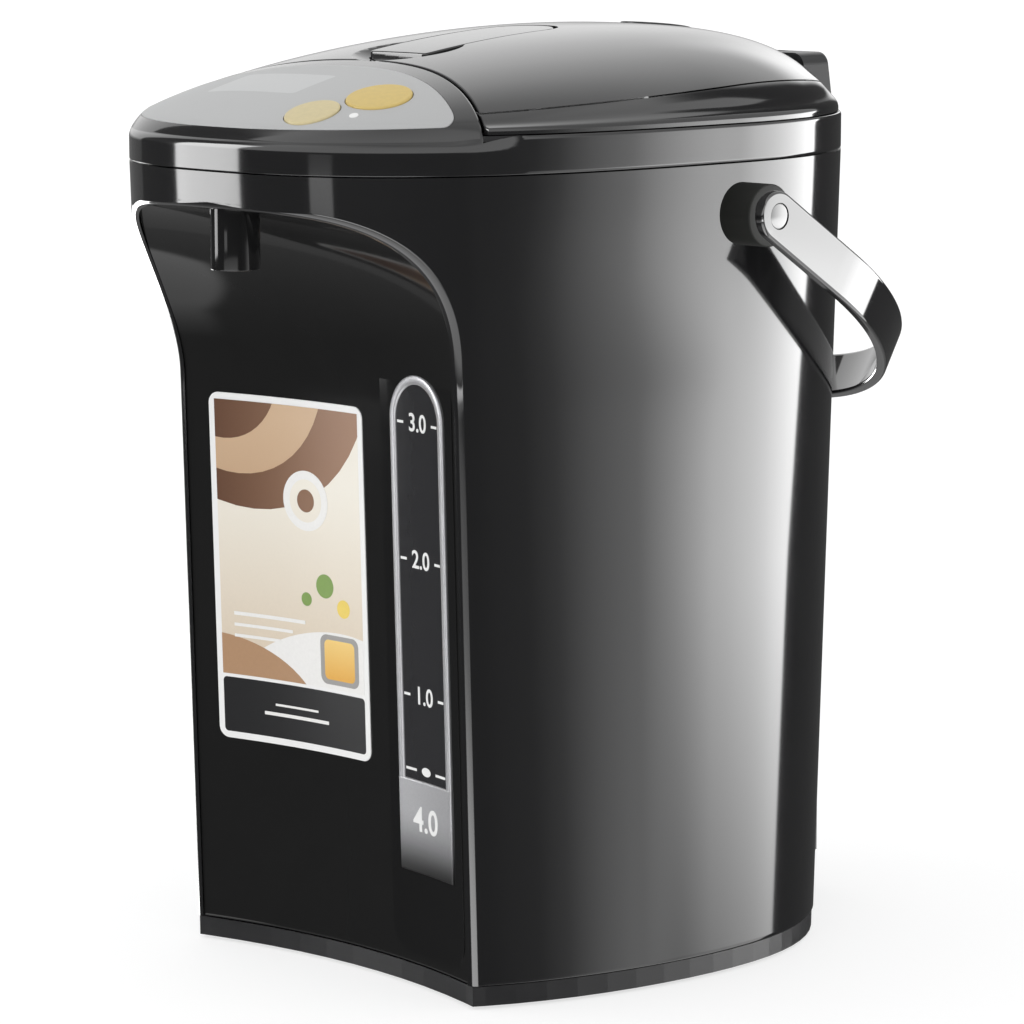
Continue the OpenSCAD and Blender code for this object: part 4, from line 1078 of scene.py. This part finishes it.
# each button and the lamp as (x, y, radius), the display as (x, y, half width, half depth)
controls = {"dispense": (42, -115, 11.0), "unlock": (31, -134.5, 9.2), "lamp": (46.5, -130.5, 1.6),
            "display": (-14, -112, 22.0, 10.0)}


def deckReach(dx, dy):
    near, away = rayToDisc(*deck["centre"], dx, dy, 0, form["seamCentre"], form["seamRadius"])
    return smoothMin(rayToPlan(*deck["centre"], dx, dy, -0.03), away, 1.2)


def panelReach(dx, dy, grow=0.0):
    near, away = rayToDisc(*deck["centre"], dx, dy, 0, form["seamCentre"], form["seamRadius"] - 8 + grow)
    return smoothMin(rayToPlan(*deck["centre"], dx, dy, 4 - grow), away, 9)


# block with a recess for the control panel
def buildDeck():
    count = 288
    outline = outlineFrom(deck["centre"], deckReach, count)
    rows = [("under", 1.0), ("under", 0.05), ("under", 0.0), ("wall", 0.45)]
    rows += [("arc", n) for n in range(7)] + [("shelf", n / 7) for n in range(1, 8)]
    rows += [("step", 0.0), ("floor", 0.5), ("floor", 1.0)]
    radius = deck["round"]

    def foot(y):
        return deck["foot"] - deck["footDrop"] * frontShare(y)

    def place(i, j):
        x, y, nx, ny = outline[i % count]
        kind, value = rows[j]
        cx, cy = deck["centre"]
        way = Vector((x - cx, y - cy)).normalized()
        edge = panelReach(way.x, way.y, 0.15)
        bx, by = cx + way.x * edge, cy + way.y * edge
        ax, ay = x - nx * radius, y - ny * radius
        if kind == "under":
            return x + (cx - x) * value, y + (cy - y) * value, deck["foot"] if value else foot(y)
        if kind == "wall":
            return x, y, foot(y) + (max(deckZ(x, y) - radius, foot(y) + 0.1) - foot(y)) * value
        if kind == "arc":
            t = math.pi / 2 * value / 6
            px, py = x - nx * radius * (1 - math.cos(t)), y - ny * radius * (1 - math.cos(t))
            return px, py, max(deckZ(px, py) - radius * (1 - math.sin(t)), foot(y) + 0.1)
        if kind == "shelf":
            px, py = ax + (bx - ax) * value, ay + (by - ay) * value
            return px, py, deckZ(px, py)
        sx, sy = bx + (cx - bx) * value, by + (cy - by) * value
        if kind == "step":
            return bx, by, deckZ(bx, by) - deck["recess"]
        return sx, sy, deckZ(sx, sy) - deck["recess"]

    bm = closedSheet(count, len(rows) - 1, place)
    piece = toObject(bm, "deck_shell", lacquer)
    carve(piece, [drum(x, y, r + 0.3, 293.5, 330) for x, y, r in (controls["dispense"], controls["unlock"])])
    polish(piece, [(onDeck(0), deckNormal), (onShoulderWall, shoulderNormal)], 60)
    seat(piece, "pot", "top_frame")


def buildControlPanel():
    outline = outlineFrom(deck["centre"], panelReach, 288)
    film = crownPlate(outline, deck["centre"], 0.15, 1.45, 0.25, innerRows=18, spread=1.2, heightAt=deckZ)
    piece = toObject(film, "control_panel_film", panelFilm)
    carve(piece, [drum(x, y, r + 0.3, 285, 330) for x, y, r in (controls["dispense"], controls["unlock"])])
    polish(piece, [(onDeck(0.15), deckNormal)])
    seat(piece, "pot", "control_panel")


def discReach(radius):
    return lambda dx, dy: radius


def buildButtons():
    for name, finish in (("dispense", amberCap), ("unlock", paleAmberCap)):
        x, y, r = controls[name]
        outline = outlineFrom((x, y), discReach(r), 96)
        cap = crownPlate(outline, (x, y), 0.85, 2.4, 0.6, innerRows=8, spread=1.0)
        piece = toObject(cap, name + "_button_cap", finish)
        polish(piece, [onCrown(0.85)])
        seat(piece, name + "_key", name + "_button")
        low, high = deck["stemLow"], crownZ(x, y) - 1.4
        stem = spinProfile([(0, low), (4, low), (4, high), (0, high)], (x, y), 32)
        stem = toObject(stem, name + "_button_stem", finish)
        softShade(stem)
        seat(stem, name + "_key", name + "_button")
    x, y, r = controls["lamp"]
    lens = crownPlate(outlineFrom((x, y), discReach(r), 32), (x, y), 0.45, 3.0, 0.3, innerRows=4, spread=1.0)
    piece = toObject(lens, "lock_lamp_lens", lampLens)
    softShade(piece)
    seat(piece, "pot", "lock_lamp")
    x, y, halfW, halfH = controls["display"]

    def windowReach(dx, dy):
        a = halfW / max(abs(dx), 1e-6)
        b = halfH / max(abs(dy), 1e-6)
        return smoothMin(a, b, 3)

    film = crownPlate(outlineFrom((x, y), windowReach, 128), (x, y), 0.19, 1.2, 0.15, innerRows=8, spread=1.0)
    piece = toObject(film, "display_window_film", displayFilm)
    polish(piece, [onCrown(0.19)])
    seat(piece, "pot", "display_window")


buildDeck()
buildControlPanel()
buildButtons()
print("deck built")


# dish is (x, y, radius, depth) of the finger dish, capAt is (x, y, radius) of the steam cap
lid = {"centre": (0, 20), "inset": 1.0, "round": 0.7, "foot": 2.2, "footBlend": 5.0, "gap": 0.45,
       "columns": 336, "leverFront": -67.0, "leverBack": 3.0, "leverHalf": 14.0,
       "dish": (0, -67, 40.0, 5.0), "capAt": (0, 62, 13.0), "low": 293.35, "floor": 296.6, "roof": 12.5}


def lidReach(dx, dy):
    reach = rayToPlan(*lid["centre"], dx, dy, lid["inset"])
    hit = rayToDisc(*lid["centre"], dx, dy, 0, form["seamCentre"], form["seamRadius"] + form["lidGap"])
    if hit and hit[0] > 0:
        reach = smoothMin(reach, hit[0], 2.5)
    return reach


def lidHeight(x, y):
    lift = max(1 - max(edgeDistance(x, y, lid["inset"]), 0) / lid["footBlend"], 0)
    return crownZ(x, y, lid["inset"]) + lid["foot"] * lift ** 2


def lidNormal(x, y):
    d = 0.05
    dx = (lidHeight(x + d, y) - lidHeight(x - d, y)) / (2 * d)
    dy = (lidHeight(x, y + d) - lidHeight(x, y - d)) / (2 * d)
    return Vector((-dx, -dy, 1)).normalized()


def onLid(p):
    return p.z > 294.5 and abs(p.z - lidHeight(p.x, p.y)) < 0.02


def partingZ(y):
    return 304.5 + 0.048 * y - 0.0011 * max(y - 10, 0) ** 2


# each column's nominal rows from the foot of the wall to the crown's middle
def lidColumns():
    outline = outlineFrom(lid["centre"], lidReach, lid["columns"])
    cx, cy = lid["centre"]
    radius, low = lid["round"], lid["low"]
    columns = []
    for x, y, nx, ny in outline:
        edgeTop = max(lidHeight(x, y), 293.3) - radius
        rows = []
        wallTop = max(edgeTop, 293.9)
        for t in (0.0, 0.02, 0.06, 0.25, 0.5, 0.75, 1.0):
            rows.append(Vector((x, y, low + (wallTop - low) * t)))
        rows[0] = Vector((x - nx * 0.3, y - ny * 0.3, low))
        for n in range(1, 7):
            t = math.pi / 2 * n / 6
            d = radius * (1 - math.cos(t))
            px, py = x - nx * d, y - ny * d
            rows.append(Vector((px, py, max(lidHeight(px, py) - radius * (1 - math.sin(t)), wallTop))))
        sx, sy = x - nx * radius, y - ny * radius
        for n in range(1, 49):
            q = (n / 48) ** 1.7
            px, py = sx + (cx - sx) * q, sy + (cy - sy) * q
            rows.append(Vector((px, py, lidHeight(px, py))))
        columns.append(rows)
    return columns


# (rows up to the parting plane, rows from it on), clamped so that both keep their count
def splitColumn(rows, shift):
    cross = None
    for k in range(len(rows) - 1):
        a, b = rows[k].z - partingZ(rows[k].y) - shift, rows[k + 1].z - partingZ(rows[k + 1].y) - shift
        if a < 0 <= b:
            cross = rows[k].lerp(rows[k + 1], a / (a - b))
            last = k
            break
    lower = [p if k <= last else cross for k, p in enumerate(rows)]
    upper = [cross if k <= last else p for k, p in enumerate(rows)]
    return lower, upper


def buildLid():
    columns = lidColumns()
    count = len(columns)
    cx, cy = lid["centre"]
    lower = [splitColumn(rows, -lid["gap"] / 2)[0] for rows in columns]
    upper = [splitColumn(rows, lid["gap"] / 2)[1] for rows in columns]

    # ring: outer wall, top edge inwards, inner wall, floor
    def placeBase(i, j):
        rows = lower[i % count]
        if j < len(rows):
            return rows[j]
        top, step = rows[-1], j - len(rows)
        way = Vector((cx - top.x, cy - top.y)).normalized()
        if step == 0:
            return top.x + way.x * 0.5, top.y + way.y * 0.5, top.z - 1.2
        if step == 1:
            return top.x + way.x * 3.4, top.y + way.y * 3.4, lid["floor"]
        if step < 4:
            return cx, cy, lid["floor"] if step == 2 else lid["low"]
        return rows[0]

    bm = closedSheet(count, len(lower[0]) + 4, placeBase)
    base = toObject(bm, "lid_ring", lacquer)

    # cover: crown, with a parallel inner face that ends on the parting plane
    def placeCover(i, j):
        rows = upper[i % count]
        if j < len(rows):
            return rows[j]
        back = [1.0, 0.8, 0.6, 0.4, 0.25, 0.12, 0.04, 0.0][j - len(rows)]
        start = rows[0]
        px, py = start.x + (cx - start.x) * back, start.y + (cy - start.y) * back
        if not back:
            return px, py, start.z
        return px, py, max(min(lidHeight(px, py) - lid["roof"], start.z + 40), partingZ(py) + lid["gap"] / 2)

    bm = closedSheet(count, len(upper[0]) + 7, placeCover)
    cover = toObject(bm, "lid_cover_shell", lacquer)
    return base, cover


# tongue with a straight front and a round rear, seen from its middle
def leverReach(grow, slack):
    half = lid["leverHalf"] + grow
    front, back = lid["leverFront"] - grow, lid["leverBack"] + slack + grow
    middle = (0, (lid["leverFront"] + lid["leverBack"]) / 2)

    def reach(dx, dy):
        side = half / max(abs(dx), 1e-6)
        if dy < 0:
            return smoothMin(side, (middle[1] - front) / max(-dy, 1e-6), 3)
        hit = rayToDisc(*middle, dx, dy, 0, back - half, half)
        flat = middle[1] + dy * side
        if flat < back - half or hit is None:
            return side
        return hit[1]
    return middle, reach


# upright cutter with a sloping floor
def prismOf(outline, lowAt, high):
    count = len(outline)
    cx = sum(p[0] for p in outline) / count
    cy = sum(p[1] for p in outline) / count

    def place(i, j):
        x, y = outline[i % count][:2]
        if j in (0, 3):
            x, y = cx, cy
        return x, y, lowAt(y) if j < 2 else high

    return toObject(closedSheet(count, 3, place), "cutter", mattBlack)


def ball(x, y, z, radius):
    bm = bmesh.new()
    bmesh.ops.create_uvsphere(bm, u_segments=128, v_segments=96, radius=radius * mm)
    moved(bm, x, y, z)
    return toObject(bm, "cutter", mattBlack)


# a turned piece of the lid, about the container's axis
def spunPiece(corners, radius, name, finish, node):
    piece = toObject(spinProfile(roundedProfile(corners, radius), (0, form["tankY"])), name, finish)
    softShade(piece)
    seat(piece, "lid", node)


# ring and cover, with the finger dish, the lever's pocket, the cap's seat and the hinge notch cut out
def buildLidShells():
    base, cover = buildLid()
    x, y, radius, depth = lid["dish"]
    dishZ = lidHeight(x, y) + radius - depth
    middle, reach = leverReach(0.5, 1.6)
    pocket = prismOf(outlineFrom(middle, reach, 160), lambda y: lidHeight(0, y) - 9.5, 340)
    capX, capY, capR = lid["capAt"]
    notches = [toObject(boxShape((-41, 95.5, 280), (41, 130, 340)), "cutter", mattBlack) for n in range(2)]
    capSeat = drum(capX, capY, capR + 0.3, lidHeight(capX, capY) - 4, 340)
    carve(cover, [ball(x, y, dishZ, radius), pocket, capSeat, notches[0]])
    carve(base, [notches[1]])

    def onDish(p):
        return abs((p - Vector((x, y, dishZ))).length - radius) < 0.06

    def dishNormal(p):
        return (Vector((x, y, dishZ)) - p).normalized()

    crownWay = (onLid, lambda p: lidNormal(p.x, p.y))
    polish(cover, [crownWay, (onDish, dishNormal)])
    polish(base, [crownWay])
    seat(cover, "lid", "lid_cover")
    seat(base, "lid", "lid_base")


# ring of the plug, and the knuckle with its tongue at the hinge
def buildLidFittings():
    spunPiece([(66, 274), (76, 274), (76, 293.6), (66, 293.6), (66, 274)], 0.8, "lid_plug_ring", satinBlack,
              "lid_base")
    knuckle = spinProfile(roundedProfile([(0, -20), (5, -20), (5, 20), (0, 20)], 0.6), (0, 0), 48)
    moved(turned(knuckle, "Y", 90), 0, 106, 304)
    piece = toObject(knuckle, "lid_knuckle", satinBlack)
    softShade(piece)
    seat(piece, "lid", "lid_base")
    tongue = toObject(boxShape((-20, 94.2, 299), (20, 106, 303), 0.8), "lid_hinge_tongue", satinBlack)
    softShade(tongue, weighted=True)
    seat(tongue, "lid", "lid_base")


# tongue with its two pivot ears
def buildLever():
    middle, reach = leverReach(0, 0)
    tongue = crownPlate(outlineFrom(middle, reach, 200), middle, 0, 3.5, 0.6, lid["inset"], 16, 1.2)
    lever = toObject(tongue, "lid_lever_tongue", lacquer)
    polish(lever, [onCrown(0, lid["inset"])])
    seat(lever, "lever", "lid_lever")
    for side in (-1, 1):
        ear = turned(spinProfile([(0, -2), (2.6, -2), (2.6, 2), (0, 2)], (0, 0), 32), "Y", 90)
        moved(ear, side * 6, -1, 317.83)
        piece = toObject(ear, "lid_lever_ear_" + "lr"[side > 0], satinBlack)
        softShade(piece)
        seat(piece, "lever", "lid_lever")


# disc with five slots
def buildSteamCap():
    x, y, radius = lid["capAt"]
    outline = outlineFrom((x, y), discReach(radius), 96)
    disc = crownPlate(outline, (x, y), 0.6, 3.4, 0.5, lid["inset"], 10, 1.0)
    cap = toObject(disc, "steam_cap_disc", satinBlack)
    slots = [boxShape((-6, y + 3.6 * k - 0.8, 300), (6, y + 3.6 * k + 0.8, 330)) for k in range(-2, 3)]
    carve(cap, [toObject(slot, "cutter", mattBlack) for slot in slots])
    polish(cap, [onCrown(0.6, lid["inset"])])
    seat(cap, "lid", "steam_cap")


def buildLidUnderside():
    spunPiece([(0, 264), (50, 264), (56, 272.8), (67.5, 272.8), (67.5, 274), (55, 274), (49, 265.2),
               (0, 265.2)], 1.5, "lid_plate_dish", steel, "lid_plate")
    spunPiece([(68, 269.5), (75.5, 269.5), (75.5, 274), (68, 274), (68, 269.5)], 0.9,
              "lid_gasket_ring", whiteRubber, "lid_gasket")


buildLidShells()
buildLidFittings()
buildLever()
buildSteamCap()
buildLidUnderside()
print("lid built")


spout = {"centre": (0, -141), "bore": 6.5, "radius": 8.3, "low": 247, "plug": 262, "top": 271.6}


# turned nozzle, open below and closed inside
def buildSpout():
    corners = [(0, spout["plug"]), (spout["bore"], spout["plug"]), (spout["bore"], spout["low"]),
               (spout["radius"], spout["low"]), (spout["radius"], spout["top"]), (0, spout["top"])]
    tube = spinProfile(roundedProfile(corners, 0.55), spout["centre"], 64)
    piece = toObject(tube, "spout_tube", glossPlastic)
    softShade(piece, 45)
    seat(piece, "pot", "spout")


# points of an elliptic quarter from one angle to another, in equal steps
def arcPoints(r, z, wide, high, first, last, steps):
    angles = [math.radians(first + (last - first) * n / steps) for n in range(steps + 1)]
    return [(r + wide * math.cos(a), z + high * math.sin(a)) for a in angles]


def buildTank():
    inner = [(0, 52), (76.5, 52)]
    inner += arcPoints(76.5, 58, 6, 6, -90, 0, 6)[1:] + arcPoints(66, 246, 16.5, 16, 0, 90, 8)
    inner += [(66, 268.6), (66.5, 269.2), (77.4, 269.2), (78, 268.9), (78, 268.1), (66.9, 268.1)]
    outer = arcPoints(66.9, 246, 16.4, 16, 90, 0, 6)
    outer += [(83.3, 58)] + arcPoints(76.5, 58, 6.8, 6.8, 0, -90, 6)[1:] + [(0, 51.2)]
    piece = toObject(spinProfile(inner + outer, (0, form["tankY"]), 128), "tank_bowl", steel)
    softShade(piece, 40)
    seat(piece, "pot", "tank")


handle = {"pivotZ": 263.0, "dip": 32.0, "armOut": 115.0, "thick": 4.0, "halfWidth": 8.5, "length": 136.0,
          "round": 95.0, "edge": 1.2, "bore": 4.55, "endRows": 16,
          "boss": [(0, 92), (9, 92), (9, 97.2), (10.6, 97.2), (10.6, 110.7), (4.6, 110.7), (4.6, 108)],
          "pin": [(0, 92), (4.5, 92), (4.5, 114.6), (0, 114.6)]}


def buildHandle():
    w, t = handle["armOut"], handle["thick"]
    mid = w - t / 2
    r = handle["round"] - t / 2
    straight = handle["length"] - handle["round"]
    path = []                                   # (x, y, normal x, normal y, half width)
    half = handle["halfWidth"]
    for n in range(13):
        a = math.pi / 2 * (1 - n / 12)
        path.append((mid, -half * math.sin(a), 1, 0, max(half * math.cos(a), 0.0)))
    for n in range(1, 9):
        path.append((mid, straight * n / 8, 1, 0, half))
    for n in range(1, 41):
        a = math.pi / 2 * n / 40
        path.append((mid - r + r * math.cos(a), straight + r * math.sin(a), math.cos(a), math.sin(a), half))
    for n in range(1, 5):
        path.append(((mid - r) * (1 - n / 4), straight + r, 0, 1, half))
    path += [(-x, y, -nx, ny, h) for x, y, nx, ny, h in path[-2::-1]]
    edge = handle["edge"]

    # rounded strip section as (across, out)
    def section(h):
        e = min(edge, h * 0.9) if h > 0 else 0
        points = []
        out, up = h - e, t / 2 - edge
        for cx, cy, start in ((out, up, 0), (-out, up, 90), (-out, -up, 180), (out, -up, 270)):
            for k in range(6):
                a = math.radians(start + 90 * k / 5)
                points.append((cx + e * math.cos(a), cy + edge * math.sin(a)))
        return points

    sections = [section(p[4]) for p in path]
    count = len(sections[0])

    def place(i, j):
        x, y, nx, ny, h = path[j]
        across, out = sections[j][i % count]
        return x + nx * out, y + ny * out, across

    # the strap's two ends and its middle
    end, cut = len(path) - 1, handle["endRows"]
    for name, first, last in (("right", 0, cut), ("middle", cut, end - cut), ("left", end - cut, end)):
        bm = gridSheet(count, last - first, lambda i, j: place(i, first + j))
        bmesh.ops.holes_fill(bm, edges=[e for e in bm.edges if e.is_boundary], sides=0)
        bmesh.ops.recalc_face_normals(bm, faces=bm.faces)
        turned(bm, "X", -handle["dip"])
        moved(bm, 0, 0, handle["pivotZ"])
        piece = toObject(bm, "handle_strap_" + name, strapBlack)
        if name != "middle":
            piece.visible_glossy = False
            bore = turned(drumShape(0, 0, handle["bore"], -130, 130, 48), "Y", 90)
            moved(bore, 0, 0, handle["pivotZ"])
            carve(piece, [toObject(bore, "cutter", mattBlack)])
        softShade(piece, 38, weighted=True)
        seat(piece, "handle", "handle_bail")
    for side in (-1, 1):
        name = "lr"[side > 0]
        boss = spinProfile(roundedProfile(handle["boss"], 0.5), (0, 0), 64)
        pin = spinProfile(roundedProfile(handle["pin"], 0.5), (0, 0), 48)
        for bm, label, finish, nodeName in ((boss, "handle_boss_", deepBlack, "handle_bosses"),
                                            (pin, "handle_pin_", strapBlack, "handle_pins")):
            turned(bm, "Y", 90 * side)
            moved(bm, 0, 0, handle["pivotZ"])
            piece = toObject(bm, label + name, finish)
            piece.visible_glossy = False
            softShade(piece)
            seat(piece, "pot", nodeName)


buildSpout()
buildTank()
buildHandle()
print("spout, container and handle built")


# in metres; back is the way from the object to the camera
view = {"lens": 151.4, "at": (1.0689, -1.0806, 0.3842), "back": (0.6989, -0.6989, 0.1520)}


def addCamera():
    data = bpy.data.cameras.new("camera")
    data.lens = view["lens"]
    data.sensor_width = 36
    data.clip_end = 30
    camera = bpy.data.objects.new("camera", data)
    back = Vector(view["back"]).normalized()
    right = Vector((math.sqrt(0.5), math.sqrt(0.5), 0))
    up = back.cross(right)
    axes = Matrix((right, up, back)).transposed().to_4x4()
    camera.matrix_world = Matrix.Translation(view["at"]) @ axes
    bpy.context.scene.collection.objects.link(camera)
    bpy.context.scene.camera = camera


def addFloor():
    bm = bmesh.new()
    bmesh.ops.create_grid(bm, x_segments=2, y_segments=2, size=12)
    mat = makeFinish("floor white", (0.36, 0.36, 0.36), 0.9, tint=0.005, grain=3)
    glow = mat.node_tree.nodes["Principled BSDF"]
    glow.inputs["Emission Color"].default_value = (1, 1, 1, 1)
    glow.inputs["Emission Strength"].default_value = 0.68
    floor = toObject(bm, "studio_floor", mat)
    floor.visible_glossy = False


studio = {"plain": 0.95, "key": 4.0}


def addWorld():
    world = bpy.data.worlds.new("studio")
    bpy.context.scene.world = world
    world.use_nodes = True
    nodes, links = world.node_tree.nodes, world.node_tree.links
    out = nodes["World Output"]
    plain = nodes["Background"]
    plain.inputs["Color"].default_value = (0.99, 0.995, 1, 1)
    plain.inputs["Strength"].default_value = studio["plain"]

    def math2(kind, a, b=None):
        node = nodes.new("ShaderNodeMath")
        node.operation = kind
        for k, value in enumerate((a, b)):
            if value is None:
                continue
            if isinstance(value, (int, float)):
                node.inputs[k].default_value = value
            else:
                links.new(value, node.inputs[k])
        return node.outputs["Value"]

    def ramp(value, low, high, bottom=0.0, top=1.0, smooth=True):
        node = nodes.new("ShaderNodeMapRange")
        node.interpolation_type = "SMOOTHSTEP" if smooth else "LINEAR"
        node.inputs["From Min"].default_value = low
        node.inputs["From Max"].default_value = high
        node.inputs["To Min"].default_value = bottom
        node.inputs["To Max"].default_value = top
        links.new(value, node.inputs["Value"])
        return node.outputs["Result"]

    coords = nodes.new("ShaderNodeTexCoord")
    split = nodes.new("ShaderNodeSeparateXYZ")
    links.new(coords.outputs["Generated"], split.inputs["Vector"])
    x, y, z = (split.outputs[k] for k in "XYZ")
    turn = math2("MULTIPLY", math2("ARCTAN2", y, x), 180 / math.pi)
    rise = math2("MULTIPLY", math2("ARCSINE", z), 180 / math.pi)

    # piecewise straight line through (value, level) pairs
    def stops(value, pairs):
        low, high = pairs[0][0], pairs[-1][0]
        peak = max(level for at, level in pairs)
        node = nodes.new("ShaderNodeValToRGB")
        line = node.color_ramp
        while len(line.elements) < len(pairs):
            line.elements.new(0.5)
        for element, (at, level) in zip(line.elements, pairs):
            element.position = (at - low) / (high - low)
            element.color = [level / peak] * 3 + [1]
        links.new(ramp(value, low, high, smooth=False), node.inputs["Fac"])
        return math2("MULTIPLY", node.outputs["Color"], peak)

    # 1 between the two inner values, 0 outside the outer ones
    def span(value, start, full, fade, end):
        return times(ramp(value, start, full), ramp(value, fade, end, 1.0, 0.0))

    def times(*factors):
        result = factors[0]
        for factor in factors[1:]:
            result = math2("MULTIPLY", result, factor)
        return result

    def blendTo(a, b, share):
        return math2("ADD", times(a, math2("SUBTRACT", 1, share)), times(b, share))

    # softbox to the right: a gradient sheet whose left end leans
    lean = times(ramp(rise, -8, -4.5), 12)
    sheet = stops(math2("SUBTRACT", turn, lean), [(-10, 0.03), (0, 0.08), (7, 0.3), (15, 0.9), (24, 1.45),
                                                  (31, 2.9), (40, 5.0), (52, 5.8), (62, 6.4), (90, 6.6)])
    fall = ramp(rise, -15.5, -9.5, 0.3, 1.0, smooth=False)
    sheet = blendTo(sheet, times(sheet, fall), ramp(turn, 20, 34))
    # dark flag behind it, with a leaning front edge and a post that stands higher
    flagFront = stops(rise, [(-18, 63), (-13.5, 67), (-9.5, 70.5), (-7, 76), (-5, 81.5), (15, 91), (45, 94)])
    flagBack = stops(rise, [(-2, 127), (10, 119), (20, 112), (30, 107), (38, 103), (48, 101)])
    behindFront = ramp(math2("SUBTRACT", turn, flagFront), -0.8, 0.8)
    behindBack = ramp(math2("SUBTRACT", turn, flagBack), -1.5, 1.5)
    postTop = ramp(rise, 43, 47, 1.0, 0.0)
    flag = times(behindFront, math2("SUBTRACT", 1, behindBack), postTop)
    # bright room above and behind, plainer above the front
    backRoom = stops(rise, [(-2, 0.1), (6, 0.84), (12, 0.92), (26, 0.96), (30, 0.95), (38, 0.86), (43, 0.72),
                            (49, 0.58), (90, 0.5)])
    glowSpot = times(span(turn, 103, 108, 118, 131), ramp(rise, 18, 28, 1.0, 0.0))
    backRoom = math2("ADD", backRoom, glowSpot)
    sideRoom = stops(rise, [(2, 0.0), (10, 0.72), (90, 0.66)])
    frontRoom = stops(rise, [(0, 0.0), (5, 1.3), (60, 1.2), (90, 0.7)])
    room = blendTo(sideRoom, backRoom, ramp(turn, 99, 108))
    room = blendTo(frontRoom, room, math2("MAXIMUM", ramp(turn, 5, 30), ramp(turn, -150, -165)))
    beside = math2("SUBTRACT", 1, behindFront)
    lowSheet = times(sheet, ramp(rise, 3, 10, 1.0, 0.0), ramp(turn, -14, -8), beside)
    # narrow softbox on the left of the front, and a warm card
    leftBox = times(span(turn, -150, -148.5, -131, -129.5), span(rise, -9.1, -8.5, 30, 40), 6.2)
    card = times(span(turn, -93.5, -92, -80, -78.5), span(rise, -9.1, -8.5, -4.5, -4.2), 1.5)
    edgeGlow = stops(rise, [(-20, 5.0), (-16.5, 4.2), (-13.5, 1.2), (-10.8, 0.7), (-10.3, 0)])
    edgeLight = times(span(turn, -100, -92, -36, -26), edgeGlow, ramp(rise, -24, -21))
    # low strip that only the rims of the front edge face
    lowCut = stops(math2("MULTIPLY", rise, -1), [(20, 60), (32, 56), (48, 32), (60, 28)])
    lowGlow = stops(rise, [(-70, 1.9), (-35, 1.4), (-28, 0.5), (-23, 0)])
    pastCut = ramp(math2("ADD", turn, math2("SUBTRACT", 180, lowCut)), 0, 5)
    lowStrip = times(pastCut, ramp(turn, -25, -15, 1.0, 0.0), lowGlow)
    farLeft = times(ramp(turn, -150, -146, 1.0, 0.0), ramp(rise, 42, 58, 1.0, 0.0),
                    ramp(turn, -179.9, -179.5))
    room = times(room, math2("SUBTRACT", 1, times(farLeft, 0.92)))
    total = math2("ADD", math2("ADD", lowSheet, leftBox), times(room, math2("SUBTRACT", 1, flag)))
    total = math2("ADD", math2("ADD", total, card), stops(rise, [(-60, 0.35), (-22, 0.06), (90, 0.06)]))
    rimCard = times(span(turn, 149, 151, 157, 159), span(rise, -18.5, -17.5, -10.5, -9.8), 5)
    coveCard = times(span(turn, 154, 156, 172.5, 174), span(rise, -27, -26, -15, -14), 8)
    total = math2("ADD", total, math2("ADD", rimCard, coveCard))
    total = math2("ADD", total, math2("ADD", edgeLight, lowStrip))
    studioLight = nodes.new("ShaderNodeBackground")
    studioLight.inputs["Color"].default_value = (1, 1, 1, 1)
    links.new(total, studioLight.inputs["Strength"])
    white = nodes.new("ShaderNodeBackground")
    white.inputs["Color"].default_value = (1, 1, 1, 1)
    path = nodes.new("ShaderNodeLightPath")
    mirror = math2("MAXIMUM", path.outputs["Is Glossy Ray"], path.outputs["Is Transmission Ray"])

    def choose(share, a, b):
        node = nodes.new("ShaderNodeMixShader")
        for k, value in enumerate((share, a, b)):
            links.new(value, node.inputs[k])
        return node.outputs[0]

    seen = choose(mirror, plain.outputs[0], studioLight.outputs[0])
    links.new(choose(path.outputs["Is Camera Ray"], seen, white.outputs[0]), out.inputs["Surface"])


def addKeyLight():
    data = bpy.data.lights.new("key", "AREA")
    data.shape = "RECTANGLE"
    data.size, data.size_y = 1.2, 0.9
    data.energy = studio["key"]
    lamp = bpy.data.objects.new("key", data)
    at = Vector((-0.7, -1.1, 1.5))
    aim = (at - Vector((0, 0, 0.15))).to_track_quat("Z", "Y").to_matrix().to_4x4()
    lamp.matrix_world = Matrix.Translation(at) @ aim
    lamp.visible_glossy = False
    bpy.context.scene.collection.objects.link(lamp)


addCamera()
addFloor()
addWorld()
addKeyLight()
bpy.context.scene.view_settings.view_transform = "Standard"
print("stage built")
